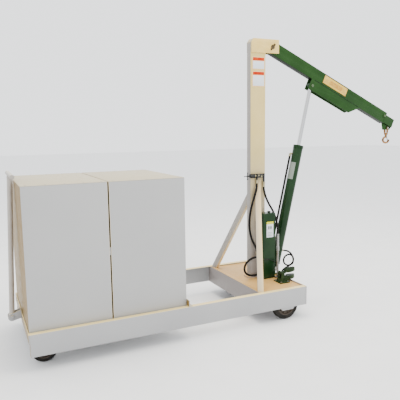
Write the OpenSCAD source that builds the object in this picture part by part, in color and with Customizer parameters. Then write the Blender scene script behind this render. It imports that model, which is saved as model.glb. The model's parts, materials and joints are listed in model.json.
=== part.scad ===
// Counterbalanced hydraulic floor crane: a wheeled base with two counterweight
// cases, a braced mast, and a ram-lifted boom with a sliding extension and hook.
// +X points along the boom, +Y to the left, +Z up, and the floor is at Z = 0.

/* [Base frame] */
// Length of the base over its rear and front plates
base_l = 1880; // [1700:10:2300]
// Width over the two rails
base_w = 822; // [760:2:1000]
// Height of a rail
rail_h = 132; // [110:1:160]
// Height of the rails' top above the floor
rail_top = 224; // [215:1:260]
// Wall of the rails and of the cross plates
rail_wall = 6; // [4:0.5:8]
// Width of a rail's top flange
rail_flange = 36; // [26:1:45]
// Height of the rear cross plate
rear_plate_h = 56; // [40:1:80]
// Length of the front deck
deck_l = 374; // [350:2:440]
// Depth of the deck's top below the rails' top
deck_drop = 8; // [8:0.5:14]
// Thickness of the deck and of the weight tray
deck_t = 6; // [4:0.5:10]
// Flange on top of the deck's cross beam
beam_flange = 28; // [15:1:45]

/* [Counterweights] */
// Length of one counterweight case
case_l = 475; // [380:1:520]
// Width of a case
case_w = 744; // [600:2:744]
// Height of a case, over its lid
case_h = 840; // [600:5:1000]
// Sheet thickness of a case
case_wall = 3; // [2:0.5:6]
// Gap between the two cases, and between a case and its stops
case_gap = 8; // [4:0.5:12]
// Height of the ballast in a case
ballast_h = 250; // [120:5:500]
// Clearance round the ballast
ballast_clear = 2; // [1:0.5:6]
// Height of the stop angle in front of the cases
stop_h = 40; // [25:1:60]
// Foot of the stop angle
stop_foot = 25; // [18:1:40]

/* [Front wheels] */
// Radius of a front wheel
front_wheel_r = 101.6; // [90:0.2:108]
// Width of a front wheel
front_wheel_w = 50; // [38:1:60]
// Distance of the front axle behind the base's front
front_axle_back = 156; // [140:2:190]
// Inset of a front wheel from the rail's outer face
front_wheel_inset = 20; // [16:1:30]
// Drop of the axle bracket below the rail
axle_bracket_drop = 18; // [10:1:30]
// Radius of a front axle
front_axle_r = 10; // [8:0.5:13]

/* [Casters] */
// Radius of a caster wheel
caster_r = 76; // [60:1:80]
// Width of a caster wheel
caster_w = 50; // [38:1:55]
// Distance of the swivel axis ahead of the base's rear end
caster_x = 130; // [110:2:200]
// Trail of the wheel behind the swivel axis
caster_trail = 35; // [20:1:45]
// Inset of the caster's middle from the rail's outer face
caster_inset = 138; // [120:1:180]
// Radius of a caster's axle
caster_axle_r = 7; // [5:0.5:9]
// Radius of a kingpin
kingpin_r = 10; // [8:0.5:13]

/* [Mast] */
// Depth of the mast tube, front to back
mast_d = 127; // [110:1:150]
// Width of the mast tube
mast_w = 52; // [44:1:60]
// Wall of the mast tube
mast_wall = 6; // [4:0.5:8]
// Distance of the mast's front face behind the base's front
mast_setback = 107; // [100:1:125]
// Height of the mast head's top above the floor
head_top = 1978; // [1500:2:2300]
// Height of the head's cheek plates
cheek_h = 98; // [90:1:130]
// Length of the cheek plates
cheek_l = 236; // [226:1:250]
// Thickness of the cheek plates
cheek_t = 6; // [4:0.5:10]
// Height where a brace meets the mast
brace_top = 900; // [700:5:1000]
// Size of the square brace tube
brace_s = 40; // [30:1:46]
// Distance of a brace's foot from the mast's middle, rearwards
brace_back = 176; // [120:2:180]
// Inset of a brace's foot from the rail's outer face
brace_inset = 62; // [62:1:90]

/* [Boom] */
// Slope of the boom below level
boom_drop = 24.25; // [10:0.25:26]
// Height of the boom pin below the head's top
pin_drop = 53.5; // [48:0.5:60]
// Distance of the boom pin ahead of the mast's front face
pin_ahead = 58.5; // [55:0.5:64]
// Radius of the boom pin
boom_pin_r = 16; // [12:0.5:20]
// Depth of the boom tube
boom_d = 92; // [80:1:96]
// Clearance between the boom and each cheek
boom_clear = 1; // [0.5:0.25:2]
// Wall of the boom tube
boom_wall = 5; // [3:0.5:6]
// Length of the boom tube ahead of its pin
boom_l = 1243; // [1100:1:1500]
// Length of the boom tube behind its pin
boom_tail = 25; // [20:1:30]
// Distance from the boom pin to the ram pin, along the boom
ram_pin_along = 444; // [430:1:470]
// Depth of the ram pin below the boom's middle
ram_pin_down = 90; // [84:1:94]
// Radius of the ram pin
ram_pin_r = 9; // [7:0.5:14]
// Length of the ram bracket's lower edge
bracket_l = 440; // [300:2:500]
// Depth of the ram bracket below the boom
bracket_d = 80; // [76:1:100]

/* [Extension and hook] */
// Depth of the extension tube
ext_d = 72; // [60:1:80]
// Length of the extension tube
ext_l = 660; // [600:5:760]
// Clearance between the extension and the boom tube
ext_clear = 1; // [0.5:0.25:2]
// How far the extension stands out of the boom at rest
ext_out = 112; // [100:1:140]
// Wall of the extension tube
ext_wall = 5; // [3:0.5:6]
// Depth of the hook pin below the boom's middle
hook_pin_down = 60; // [58:1:66]
// Radius of the hook pin
hook_pin_r = 7; // [5:0.5:8]
// Drop from the hook pin to the middle of the hook's bowl
hook_drop = 100; // [98:1:120]
// Radius of the middle of the hook's bowl
hook_r = 24; // [20:0.5:28]
// Thickness of the hook's bar
hook_t = 16; // [10:0.5:18]

/* [Ram] */
// Distance of the ram's foot pin behind the base's front
ram_foot_back = 2; // [0:1:30]
// Height of the foot pin above the deck
ram_foot_up = 46; // [40:1:60]
// Radius of the ram's barrel
barrel_r = 37.5; // [32:0.5:42]
// Wall of the barrel
barrel_wall = 6; // [4:0.5:8]
// Length from the foot pin to the barrel's top
barrel_l = 945; // [850:5:1000]
// Radius of the rod
rod_r = 14.25; // [12:0.25:18]
// Radius of the ram's foot pin
foot_pin_r = 10; // [8:0.5:12]
// Length of the gland above the barrel
gland_h = 24; // [16:1:40]

/* [Hydraulics] */
// Length of the oil tank, front to back
tank_l = 104; // [80:1:110]
// Width of the oil tank
tank_w = 79; // [60:1:90]
// Height of the oil tank
tank_h = 490; // [350:5:600]
// Gap between the tank and the mast
tank_gap = 9; // [9:0.5:14]
// Height of the control valve's axis
valve_z = 992; // [960:2:1060]
// Outer diameter of the hoses
hose_d = 16; // [12:0.5:16]
// Outer diameter of the ram's feed hose
feed_hose_d = 13; // [8:0.5:14]
// Travel of the pump's plunger
plunger_travel = 4.5; // [2:0.5:6]

/* [Tow handle] */
// Height of the handle's cross bar above its pivot
handle_h = 877; // [800:1:1000]
// Length of the cross bar
handle_bar_l = 380; // [250:5:500]
// Radius of the cross bar
handle_bar_r = 13; // [10:0.5:16]
// Radius of the handle's tube
handle_tube_r = 16; // [12:0.5:18]
// Lean of the folded handle towards the cases
handle_lean = 2.6; // [1:0.1:3]
// Distance of the handle's pivot behind the base
tow_back = 54; // [50:1:70]
// Height of the handle's pivot above the floor
tow_z = 204; // [196:1:210]
// Radius of the rounded lug at the pivot
tow_lug_r = 24; // [20:1:28]
// Radius of the pivot bolt
tow_pin_r = 8; // [6:0.5:10]

/* [Hidden] */
$fn = 64;

// Radial running clearance of every pin, axle and piston
run = 0.05;
// Side clearance of every wheel, eye and fork
side_gap = 2;

// Where the main stations stand. The origin is the middle of the crane's box.
ext_tip = boom_l + ext_out;
pin_from_rear = base_l - mast_setback + pin_ahead;
front_reach = pin_from_rear + ext_tip * cos(boom_drop) + ext_d / 2 * sin(boom_drop);
rear_reach = tow_back + tow_lug_r;
rear_x = -(front_reach - rear_reach) / 2;
front_x = rear_x + base_l;
half_w = base_w / 2;
rail_bottom = rail_top - rail_h;
deck_top = rail_top - deck_drop;
deck_rear_x = front_x - deck_l;
mast_front_x = front_x - mast_setback;
mast_x = mast_front_x - mast_d / 2;
mast_foot_t = 10;

// Counterweights
tray_z = rail_top - 20;
case_1_x = rear_x + rail_wall + 1;
case_2_x = case_1_x + case_l + case_gap;
stop_x = case_2_x + case_l + 2;

// Boom, seen along its own slope from the boom pin
pin_x = mast_front_x + pin_ahead;
pin_z = head_top - pin_drop;
boom_w = mast_w - 2 * boom_clear;
ext_w = boom_w - 2 * boom_wall - 2 * ext_clear;
ext_low = boom_d / 2 - boom_wall - ext_clear / 2;
hook_along = ext_tip - 44;

// Ram, seen along its own axis from the foot pin
foot_x = front_x - ram_foot_back;
foot_z = deck_top + ram_foot_up;
ram_top_x = pin_x + ram_pin_along * cos(boom_drop) - ram_pin_down * sin(boom_drop);
ram_top_z = pin_z - ram_pin_along * sin(boom_drop) - ram_pin_down * cos(boom_drop);
ram_len = norm([ram_top_x - foot_x, ram_top_z - foot_z]);
ram_lean = atan2(ram_top_x - foot_x, ram_top_z - foot_z);
bore_r = barrel_r - barrel_wall;
eye_r = 24;
eye_w = 32;
foot_eye_w = 38;
foot_lug_r = 22;
clevis_t = 8;

// Hook pin and hook in the crane's frame
hook_x = pin_x + hook_along * cos(boom_drop) - hook_pin_down * sin(boom_drop);
hook_pin_z = pin_z - hook_along * sin(boom_drop) - hook_pin_down * cos(boom_drop);
hook_z = hook_pin_z - hook_drop;

// Tip lug, shackle and the hook's turn on its swivel
lug_t = 16;
shackle_y = 18;
swivel_z = -48;
hook_turn = 25;

// Wheels
front_axle_x = front_x - front_axle_back;
front_wheel_y = half_w - front_wheel_inset - front_wheel_w / 2;
caster_axis_x = rear_x + caster_x;
caster_y = half_w - caster_inset;
caster_plate_z = tray_z - deck_t;

// Hydraulics
tank_x = mast_front_x - 15.5;
tank_y = -(mast_w / 2 + tank_gap + tank_w / 2);
tank_foot = 8;
valve_y = -mast_w / 2 - 15;
valve_x = mast_x + 1;
pump_y = -221;
treadle_x = front_x - 88;
treadle_up = 68;
treadle_tilt = 8;
plunger_x = 30;
manifold_x = front_x - 45;
manifold_y = -111;
manifold_h = 239;
nipple_x = -21;
nipple_y = -73;
hose_end_l = 98;
loop_low_z = deck_top + 31;
loop_high_z = loop_low_z + 137;
elbow_out = 24;
elbow_z = deck_top + 182;

// Routes of the hoses, as offsets from the fitting that each one leaves
valve_left_route = [
    [0, 0, 0], [0, 0, -5], [-2, -2, -13], [-7, -9, -27], [-17.5, -20, -47], [-29, -25.5, -72],
    [-40.5, -25, -105], [-51.5, -19, -150], [-59.5, -10, -200], [-64.5, -4, -255], [-65, -1, -310],
    [-60, -1, -360], [-49, -3, -405], [-37, -8, -440], [-23, -15, -472], [-13.5, -20, -494],
    [-11, -21.5, -506], [-11, -21.5, -512]
];
valve_right_route = [
    [0, 0, 0], [0, 0, -6], [2, -1, -26], [9, -4, -58], [21, -10, -97], [40, -16, -137], [63, -22, -178],
    [74, -40, -220], [79, -56, -263], [82, -66, -305], [82.5, -70, -348], [82.5, -70, -355]
];
tank_loop_route = [
    [0, 0, 0], [-28, 0, 0], [-55, 0, -6], [-82, 0, -19], [-103, 0, -38], [-115, 0, -61],
    [-117, 0, -86], [-107, 0, -109], [-88, 0, -125], [-60, 0, -135], [-30, 0, -137], [0, 0, -137]
];
ram_feed_route = [
    [0, 0, 0], [6, 0, 0], [16, -1.5, 0.5], [28, -8, 1.5], [38.5, -20, 0], [47.5, -36, -7],
    [54, -53, -20.5], [57.5, -68, -39], [55.5, -80, -57], [47, -91, -72.5], [32, -101, -83],
    [-11, -118, -92], [-34, -126, -90], [-56.5, -134, -82.5], [-75, -141, -69.5], [-86.5, -147, -50.5],
    [-87, -153, -29], [-77, -159, -11.5], [-59.5, -164, -2.5], [-40.5, -169, -5], [-26.5, -173, -17.5],
    [-20, -176, -35.5], [-23, -178, -54.5], [-34.5, -179, -71.5], [-52, -180, -84.5],
    [-92, -182, -111.5], [-106, -183, -131], [-112, -184, -152], [-111.5, -184, -164],
    [-110, -184, -170]
];

// Tow handle
tow_x = rear_x - tow_back;

// Colours of the finishes
putty = [0.74, 0.72, 0.68];
grey = [0.77, 0.77, 0.77];
tan_top = [0.87, 0.80, 0.66];
beige = [0.82, 0.77, 0.69];
green = [0.16, 0.31, 0.20];
steel = [0.62, 0.63, 0.65];
bronze = [0.55, 0.42, 0.22];
brass = [0.75, 0.66, 0.42];
chrome = [0.8, 0.81, 0.83];
black = [0.07, 0.07, 0.07];
wheel_colour = [0.16, 0.13, 0.12];

// Puts children in the boom's frame: +X along the boom, +Z square to it
module along_boom() {
    translate([pin_x, 0, pin_z]) rotate([0, boom_drop, 0]) children();
}

// Puts children in the ram's frame: +Z along the ram, the origin at its foot pin
module along_ram() {
    translate([foot_x, 0, foot_z]) rotate([0, ram_lean, 0]) children();
}

// A cylinder along Y, centred on the origin
module y_pin(r, l) {
    rotate([90, 0, 0]) cylinder(r = r, h = l, center = true);
}

// A hexagon head along Y, centred on the origin
module y_hex(across, l) {
    rotate([90, 0, 0]) cylinder(r = across / sqrt(3), h = l, center = true, $fn = 6);
}

// A box from its low corner to its high corner
module block(low, high) {
    translate(low) cube(high - low);
}

// A plate outlined in X and Z, with its thickness along Y from y0
module side_plate(points, y0, t) {
    translate([0, y0 + t, 0]) rotate([90, 0, 0]) linear_extrude(t) polygon(points);
}

// A copy on the right side and one on the left
module both_sides() {
    children();
    mirror([0, 1, 0]) children();
}

// ---------- base frame ----------

// One rail: an angle with its flange on top, turned in at the rear end
module rail() {
    block([rear_x + rail_wall, half_w - rail_wall, rail_bottom],
          [front_x - rail_wall, half_w, rail_top]);
    block([rear_x + rail_wall, half_w - rail_flange, rail_top - rail_wall],
          [front_x - rail_wall, half_w, rail_top]);
    block([rear_x + rail_wall, half_w - rail_flange, rail_bottom],
          [rear_x + 2 * rail_wall, half_w, rail_top]);
}

module rail_left() {
    color(putty) union() rail();
}

module rail_right() {
    color(putty) mirror([0, 1, 0]) union() rail();
}

module rear_cross_plate() {
    shelf_y = half_w - rail_flange - side_gap;
    color(putty) union() {
        block([rear_x, -half_w, rail_top - rear_plate_h], [rear_x + rail_wall, half_w, rail_top]);
        block([rear_x, -shelf_y, tray_z - 2 * deck_t], [rear_x + 7 * rail_wall, shelf_y, tray_z - deck_t]);
    }
}

module deck_cross_beam() {
    web_y = half_w - rail_wall;
    flange_y = half_w - rail_flange;
    color(putty) union() {
        block([deck_rear_x, -web_y, rail_bottom], [deck_rear_x + rail_wall, web_y, rail_top - rail_wall]);
        block([deck_rear_x, -flange_y, rail_top - rail_wall],
              [deck_rear_x + beam_flange, flange_y, rail_top]);
    }
}

module front_end_plate() {
    color(putty) block([front_x - rail_wall, -half_w, rail_bottom], [front_x, half_w, rail_top]);
}

module deck_plate() {
    web_y = half_w - rail_wall;
    color(putty) block([deck_rear_x + rail_wall, -web_y, deck_top - deck_t],
                       [front_x - rail_wall, web_y, deck_top]);
}

// ---------- counterweights ----------

module weight_tray() {
    web_y = half_w - rail_wall;
    color(putty) block([rear_x + 2 * rail_wall, -web_y, tray_z - deck_t],
                       [stop_x + stop_foot, web_y, tray_z]);
}

// One open-topped case, standing on the tray
module weight_case(x) {
    difference() {
        block([x, -case_w / 2, tray_z], [x + case_l, case_w / 2, tray_z + case_h - case_wall]);
        block([x + case_wall, -case_w / 2 + case_wall, tray_z + case_wall],
              [x + case_l - case_wall, case_w / 2 - case_wall, tray_z + case_h]);
    }
}

module weight_cases() {
    color(grey) {
        weight_case(case_1_x);
        weight_case(case_2_x);
    }
}

module weight_lids() {
    top = tray_z + case_h;
    color(tan_top) for (x = [case_1_x, case_2_x])
        block([x, -case_w / 2, top - case_wall], [x + case_l, case_w / 2, top]);
}

module ballast_blocks() {
    inset = case_wall + ballast_clear;
    low = tray_z + case_wall;
    color([0.6, 0.6, 0.58]) for (x = [case_1_x, case_2_x])
        block([x + inset, -case_w / 2 + inset, low],
              [x + case_l - inset, case_w / 2 - inset, low + ballast_h]);
}

module weight_stop() {
    stop_y = half_w - 3;
    color(tan_top) side_plate([
        [stop_x, rail_top], [stop_x + stop_foot, rail_top], [stop_x + stop_foot, rail_top + 5],
        [stop_x + 5, rail_top + 5], [stop_x + 5, rail_top + stop_h], [stop_x, rail_top + stop_h]
    ], -stop_y, 2 * stop_y);
}

// ---------- front wheels ----------

// An inner hanger and an outer doubler that carry one front axle
module axle_bracket() {
    inner_y = front_wheel_y - front_wheel_w / 2 - side_gap;
    low = rail_bottom - axle_bracket_drop;
    difference() {
        union() {
            side_plate([
                [front_axle_x - 56, rail_bottom + 30], [front_axle_x - 56, low + 14],
                [front_axle_x - 42, low], [front_axle_x + 42, low],
                [front_axle_x + 56, low + 14], [front_axle_x + 56, rail_bottom + 30]
            ], half_w - rail_wall - 5, 5);
            side_plate([
                [front_axle_x - 56, deck_top - deck_t], [front_axle_x - 40, low],
                [front_axle_x + 40, low], [front_axle_x + 56, deck_top - deck_t]
            ], inner_y - 6, 6);
        }
        translate([front_axle_x, half_w / 2, front_wheel_r]) y_pin(front_axle_r + run, base_w);
    }
}

module axle_brackets() {
    color(putty) both_sides() axle_bracket();
}

module front_axles() {
    inner_y = front_wheel_y - front_wheel_w / 2 - side_gap - 6;
    outer_y = half_w - rail_wall - 0.3;
    color(steel) both_sides() {
        translate([front_axle_x, (inner_y + outer_y) / 2 - 6, front_wheel_r])
            y_pin(front_axle_r, outer_y - inner_y + 12);
        translate([front_axle_x, inner_y - 6 - 0.2, front_wheel_r]) y_hex(30, 12);
    }
}

// One wheel turned about Y: tread, web and hub, with a plain bore
module wheel(r, w, bore) {
    hub_r = 0.34 * r;
    rim_r = 0.80 * r;
    rotate([90, 0, 0]) rotate_extrude() polygon([
        [bore, -w / 2 + 1], [hub_r, -w / 2 + 1], [hub_r, -w / 4], [rim_r, -w / 4], [rim_r, -w / 2 + 3],
        [r - 6, -w / 2], [r, -w / 2 + 6], [r, w / 2 - 6], [r - 6, w / 2], [rim_r, w / 2 - 3],
        [rim_r, w / 4], [hub_r, w / 4], [hub_r, w / 2 - 1], [bore, w / 2 - 1]
    ]);
}

module front_wheel_left() {
    color(wheel_colour) translate([front_axle_x, front_wheel_y, front_wheel_r])
        wheel(front_wheel_r, front_wheel_w, front_axle_r + run);
}

module front_wheel_right() {
    color(wheel_colour) translate([front_axle_x, -front_wheel_y, front_wheel_r])
        wheel(front_wheel_r, front_wheel_w, front_axle_r + run);
}

// ---------- casters ----------

fork_crown_z = caster_plate_z - 16;
fork_crown_t = 8;
fork_leg_t = 5;

module caster_top_plates() {
    color(steel) both_sides() translate([caster_axis_x, caster_y, 0]) {
        block([-55, -45, caster_plate_z - 6], [55, 45, caster_plate_z]);
        translate([0, 0, fork_crown_z + 0.4]) cylinder(r = 28, h = caster_plate_z - 6 - fork_crown_z);
        translate([0, 0, fork_crown_z - fork_crown_t - 10]) cylinder(r = kingpin_r, h = 24);
        translate([0, 0, fork_crown_z - fork_crown_t - 8]) cylinder(r = kingpin_r + 5, h = 7.6);
    }
}

// Fork of one caster, with its kingpin hole, two legs and the axle bolt
module caster_fork() {
    leg_y = caster_w / 2 + side_gap;
    axle_x = -caster_trail;
    difference() {
        union() {
            translate([0, 0, fork_crown_z - fork_crown_t]) cylinder(r = 34, h = fork_crown_t);
            block([-46, -leg_y - fork_leg_t, fork_crown_z - fork_crown_t],
                  [24, leg_y + fork_leg_t, fork_crown_z]);
            both_sides() side_plate([
                [-46, fork_crown_z], [24, fork_crown_z], [24, fork_crown_z - 30],
                [axle_x + 14, caster_r - 14], [axle_x - 14, caster_r - 14], [-50, fork_crown_z - 30]
            ], leg_y, fork_leg_t);
        }
        translate([0, 0, fork_crown_z - 20]) cylinder(r = kingpin_r + run, h = 40);
        translate([axle_x, 0, caster_r]) y_pin(caster_axle_r + run, 2 * base_w);
    }
    translate([axle_x, 0, caster_r]) {
        y_pin(caster_axle_r, 2 * (leg_y + fork_leg_t) + 1);
        both_sides() translate([0, leg_y + fork_leg_t + 0.3 + 4, 0]) y_hex(20, 8);
    }
}

module caster_fork_left() {
    color(steel) translate([caster_axis_x, caster_y, 0]) caster_fork();
}

module caster_fork_right() {
    color(steel) translate([caster_axis_x, -caster_y, 0]) caster_fork();
}

module caster_wheel_left() {
    color(wheel_colour) translate([caster_axis_x - caster_trail, caster_y, caster_r])
        wheel(caster_r, caster_w, caster_axle_r + run);
}

module caster_wheel_right() {
    color(wheel_colour) translate([caster_axis_x - caster_trail, -caster_y, caster_r])
        wheel(caster_r, caster_w, caster_axle_r + run);
}

// ---------- mast ----------

mast_top = head_top - 33;

module mast_tube() {
    low = deck_top + mast_foot_t;
    rear = mast_front_x - mast_d;
    color(beige) difference() {
        block([rear, -mast_w / 2, low], [mast_front_x, mast_w / 2, mast_top]);
        block([rear + mast_wall, -mast_w / 2 + mast_wall, low - 1],
              [mast_front_x - mast_wall, mast_w / 2 - mast_wall, mast_top + 1]);
    }
}

module mast_foot_plate() {
    reach_y = mast_w / 2 + tank_gap - 1;
    color(putty) block([mast_front_x - mast_d - 20, -reach_y, deck_top],
                       [mast_front_x + 18, reach_y, deck_top + mast_foot_t]);
}

// One brace from the deck up to the mast's side, cut flat at both ends
module brace() {
    top = [mast_x, mast_w / 2, brace_top];
    foot = [mast_x - brace_back, half_w - brace_inset, deck_top];
    run_v = top - foot;
    length = norm(run_v);
    difference() {
        translate(foot) rotate([0, acos(run_v.z / length), atan2(run_v.y, run_v.x)])
            translate([0, 0, length / 2]) cube([brace_s, brace_s, length + 160], center = true);
        block([mast_x - 400, 0, 0], [mast_x + 400, half_w, deck_top]);
        block([mast_x - 400, 0, 0], [deck_rear_x + beam_flange, half_w, rail_top]);
        block([mast_x - 400, half_w - rail_flange, 0], [mast_x + 400, half_w, rail_top]);
        block([mast_x - 400, -200, 0], [mast_x + 400, mast_w / 2, 2 * brace_top]);
    }
}

module mast_braces() {
    color(beige) both_sides() brace();
}

cheek_rear_x = mast_front_x - mast_d + 3;
cheek_front_x = cheek_rear_x + cheek_l;

module head_cheeks() {
    color(beige) both_sides() difference() {
        side_plate([
            [cheek_rear_x, head_top - cheek_h], [cheek_front_x, head_top - cheek_h],
            [cheek_front_x, head_top], [cheek_rear_x + 19, head_top], [cheek_rear_x, head_top - 26]
        ], mast_w / 2, cheek_t);
        translate([pin_x, 0, pin_z]) y_pin(boom_pin_r + run, base_w);
    }
}

// Folded plate that closes the head behind the boom
module head_cap() {
    t = 5;
    low = mast_top;
    color(beige) side_plate([
        [cheek_rear_x, low], [cheek_rear_x + t, low], [cheek_rear_x + t, head_top - 28],
        [cheek_rear_x + 21, head_top - t - 1], [mast_front_x, head_top - t - 1],
        [mast_front_x, head_top - 1],
        [cheek_rear_x + 19, head_top - 1], [cheek_rear_x, head_top - 26]
    ], -mast_w / 2, mast_w);
}

module boom_pin() {
    head_y = mast_w / 2 + cheek_t + 0.3;
    color(steel) translate([pin_x, 0, pin_z]) {
        y_pin(boom_pin_r, mast_w + 2 * cheek_t);
        translate([0, head_y - 1, 0]) y_pin(boom_pin_r, 4);
        translate([0, head_y + 4.2, 0]) y_pin(boom_pin_r + 6, 8.4);
    }
}

// Slanting bar that stops the boom pin from turning or walking out
module pin_keeper() {
    color(steel) translate([pin_x, -mast_w / 2 - cheek_t - 0.3, pin_z]) rotate([0, -50, 0]) {
        block([-27, -5, -7], [27, 0, 7]);
        for (x = [-20, 20]) translate([x, -7, 0]) rotate([90, 0, 0])
            cylinder(r = 6, h = 4.4, center = true, $fn = 6);
    }
}

// ---------- boom ----------

module boom_tube() {
    inner_w = boom_w - 2 * boom_wall;
    inner_d = boom_d - 2 * boom_wall;
    color(green) along_boom() difference() {
        union() {
            difference() {
                block([-boom_tail, -boom_w / 2, -boom_d / 2], [boom_l, boom_w / 2, boom_d / 2]);
                block([-boom_tail + boom_wall, -inner_w / 2, -inner_d / 2],
                      [boom_l + 1, inner_w / 2, inner_d / 2]);
            }
            y_pin(boom_pin_r + 7, boom_w - boom_wall);
        }
        y_pin(boom_pin_r + run, base_w);
        translate([boom_l - 19, -boom_w / 2, 12]) y_pin(6 + run, 4 * boom_wall);
    }
}

module ram_bracket_plates() {
    rear = ram_pin_along - 26;
    low = -boom_d / 2 - bracket_d;
    color(green) along_boom() both_sides() difference() {
        side_plate([
            [rear, -boom_d / 2], [rear, low], [rear + bracket_l, low],
            [rear + bracket_l + 88, -boom_d / 2]
        ], boom_w / 2 - boom_wall, boom_wall);
        translate([ram_pin_along, 0, -ram_pin_down]) y_pin(ram_pin_r + run, base_w);
    }
}

// The ram pin's two ends. Its middle is left out, where the rod's eye needs room.
module ram_pin_stubs() {
    color(steel) along_boom() both_sides() translate([ram_pin_along, 0, -ram_pin_down]) {
        translate([0, boom_w / 2 - boom_wall / 2, 0]) y_pin(ram_pin_r, boom_wall + 0.6);
        translate([0, boom_w / 2 + 0.3 + 2.5, 0]) y_pin(ram_pin_r + 3, 5);
    }
}

module clamp_bolt() {
    color(steel) along_boom() translate([boom_l - 19, -boom_w / 2, 12]) {
        translate([0, (boom_wall - 0.4) / 2, 0]) y_pin(6, boom_wall + 0.6);
        translate([0, -4.5, 0]) y_hex(19, 8.4);
    }
}

// ---------- extension and hook ----------

module extension_tube() {
    inner_w = ext_w - 2 * ext_wall;
    rear = ext_tip - ext_l;
    low = -ext_low;
    color(green) along_boom() difference() {
        block([rear, -ext_w / 2, low], [ext_tip - 6, ext_w / 2, low + ext_d]);
        block([rear - 1, -inner_w / 2, low + ext_wall],
              [ext_tip - 12, inner_w / 2, low + ext_d - ext_wall]);
    }
}

// Lug welded under the extension's end, which the hook's shackle straddles
module tip_lug() {
    low = -ext_low;
    color(green) along_boom() difference() {
        side_plate([
            [hook_along - 64, low], [hook_along - 27, -hook_pin_down - 28],
            [hook_along + 32, -hook_pin_down - 2], [hook_along + 38, low]
        ], -lug_t / 2, lug_t);
        translate([hook_along, 0, -hook_pin_down]) y_pin(hook_pin_r + run, base_w);
    }
}

module hook_pin() {
    color(steel) translate([hook_x, 0, hook_pin_z]) {
        y_pin(hook_pin_r, 2 * shackle_y + 1);
        both_sides() translate([0, shackle_y + 0.3 + 2, 0]) y_pin(hook_pin_r + 2, 4);
    }
}

// Bow shackle that hangs on the hook pin and carries the hook's swivel
module hook_shackle() {
    inner_y = shackle_y - 7;
    color(bronze) translate([hook_x, 0, hook_pin_z]) difference() {
        union() {
            translate([-8, 0, 0]) rotate([90, 0, 90]) linear_extrude(16) polygon([
                [-shackle_y, 0], [shackle_y, 0], [shackle_y, swivel_z + 20], [11, swivel_z - 10],
                [-11, swivel_z - 10], [-shackle_y, swivel_z + 20]
            ]);
            y_pin(11, 2 * shackle_y);
            translate([0, 0, swivel_z - 10]) cylinder(r = 13, h = 10);
        }
        block([-20, -inner_y, swivel_z], [20, inner_y, 20]);
        y_pin(hook_pin_r + run, base_w);
        cylinder(r = 6 + run, h = 4 * hook_drop, center = true);
    }
}

// Forged hook, turned a little on its swivel, with a slot in its shank for the latch
module hook() {
    head_z = hook_drop + swivel_z;
    color(bronze) translate([hook_x, 0, hook_z]) rotate([0, 0, -hook_turn]) difference() {
        union() {
            translate([0, 0, hook_r]) cylinder(r = 6, h = head_z - hook_r + 2);
            translate([0, 0, head_z + 0.4]) cylinder(r = 9.5, h = 6.6);
            translate([0, 0, hook_r - 4]) cylinder(r = 9, h = head_z - hook_r - 6.4);
            rotate([90, 0, 0]) rotate([0, 0, 90]) rotate_extrude(angle = 262)
                translate([hook_r, 0]) circle(r = hook_t / 2);
            rotate([0, 8, 0]) translate([hook_r, 0, 0]) sphere(r = hook_t / 2);
        }
        block([0.4, -4.3, hook_r - 8], [12, 4.3, hook_r + 14]);
        translate([5, 0, hook_r + 8]) y_pin(2 + run, 30);
    }
}

// Sprung gate that closes the hook's throat, on its own pin through the shank
module hook_latch() {
    end_x = hook_r - hook_t / 2 - 1;
    color(black) translate([hook_x, 0, hook_z]) rotate([0, 0, -hook_turn]) {
        translate([5, 0, hook_r + 8]) {
            y_pin(2, 14);
            y_pin(3.8, 8);
        }
        side_plate([
            [1.6, hook_r + 8], [8.4, hook_r + 8], [9, hook_r + 1], [end_x, 4], [end_x, -4],
            [end_x - 3, -4], [end_x - 3.4, 4], [5, hook_r - 1]
        ], -4, 8);
    }
}

// ---------- ram ----------

module ram_foot_clevis() {
    inner_y = foot_eye_w / 2 + 1;
    color(green) both_sides() difference() {
        union() {
            translate([foot_x, inner_y + clevis_t / 2, foot_z]) y_pin(foot_lug_r, clevis_t);
            block([foot_x - foot_lug_r, inner_y, deck_top],
                  [front_x - rail_wall, inner_y + clevis_t, foot_z]);
            block([foot_x - foot_lug_r - 20, inner_y, deck_top],
                  [front_x - rail_wall, inner_y + 24, deck_top + 8]);
        }
        translate([foot_x, 0, foot_z]) y_pin(foot_pin_r + run, base_w);
    }
}

module ram_foot_pin() {
    outer_y = foot_eye_w / 2 + 1 + clevis_t;
    color(steel) translate([foot_x, 0, foot_z]) {
        y_pin(foot_pin_r, 2 * outer_y + 8);
        both_sides() translate([0, outer_y + 0.3 + 3, 0]) y_pin(foot_pin_r + 4, 6);
    }
}

// Barrel: a drilled tube with a closed foot and the eye for the foot pin
module ram_barrel() {
    color(green) along_ram() difference() {
        union() {
            translate([0, 0, 34]) cylinder(r = barrel_r, h = barrel_l - 34);
            intersection() {
                cylinder(r = barrel_r, h = 80, center = true);
                union() {
                    y_pin(20, foot_eye_w);
                    block([-20, -foot_eye_w / 2, 0], [20, foot_eye_w / 2, 36]);
                }
            }
        }
        translate([0, 0, 50]) cylinder(r = bore_r, h = barrel_l);
        y_pin(foot_pin_r + run, base_w);
    }
}

module ram_gland() {
    color(green) along_ram() translate([0, 0, barrel_l]) difference() {
        union() {
            cylinder(r = barrel_r + 2, h = gland_h);
            translate([0, 0, -16]) cylinder(r = bore_r - run, h = 17);
        }
        translate([0, 0, -20]) cylinder(r = rod_r + run, h = gland_h + 40);
    }
}

piston_z = 480;
piston_h = 40;

// Rod with its piston and its eye, which swings freely between the bracket plates
module ram_rod() {
    color(chrome) along_ram() difference() {
        union() {
            translate([0, 0, piston_z]) cylinder(r = bore_r - run, h = piston_h);
            translate([0, 0, piston_z + 1]) cylinder(r = rod_r, h = ram_len - piston_z - eye_r + 4);
            translate([0, 0, ram_len]) y_pin(eye_r, eye_w);
        }
        translate([0, 0, ram_len]) y_pin(ram_pin_r + 3, base_w);
    }
}

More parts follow.
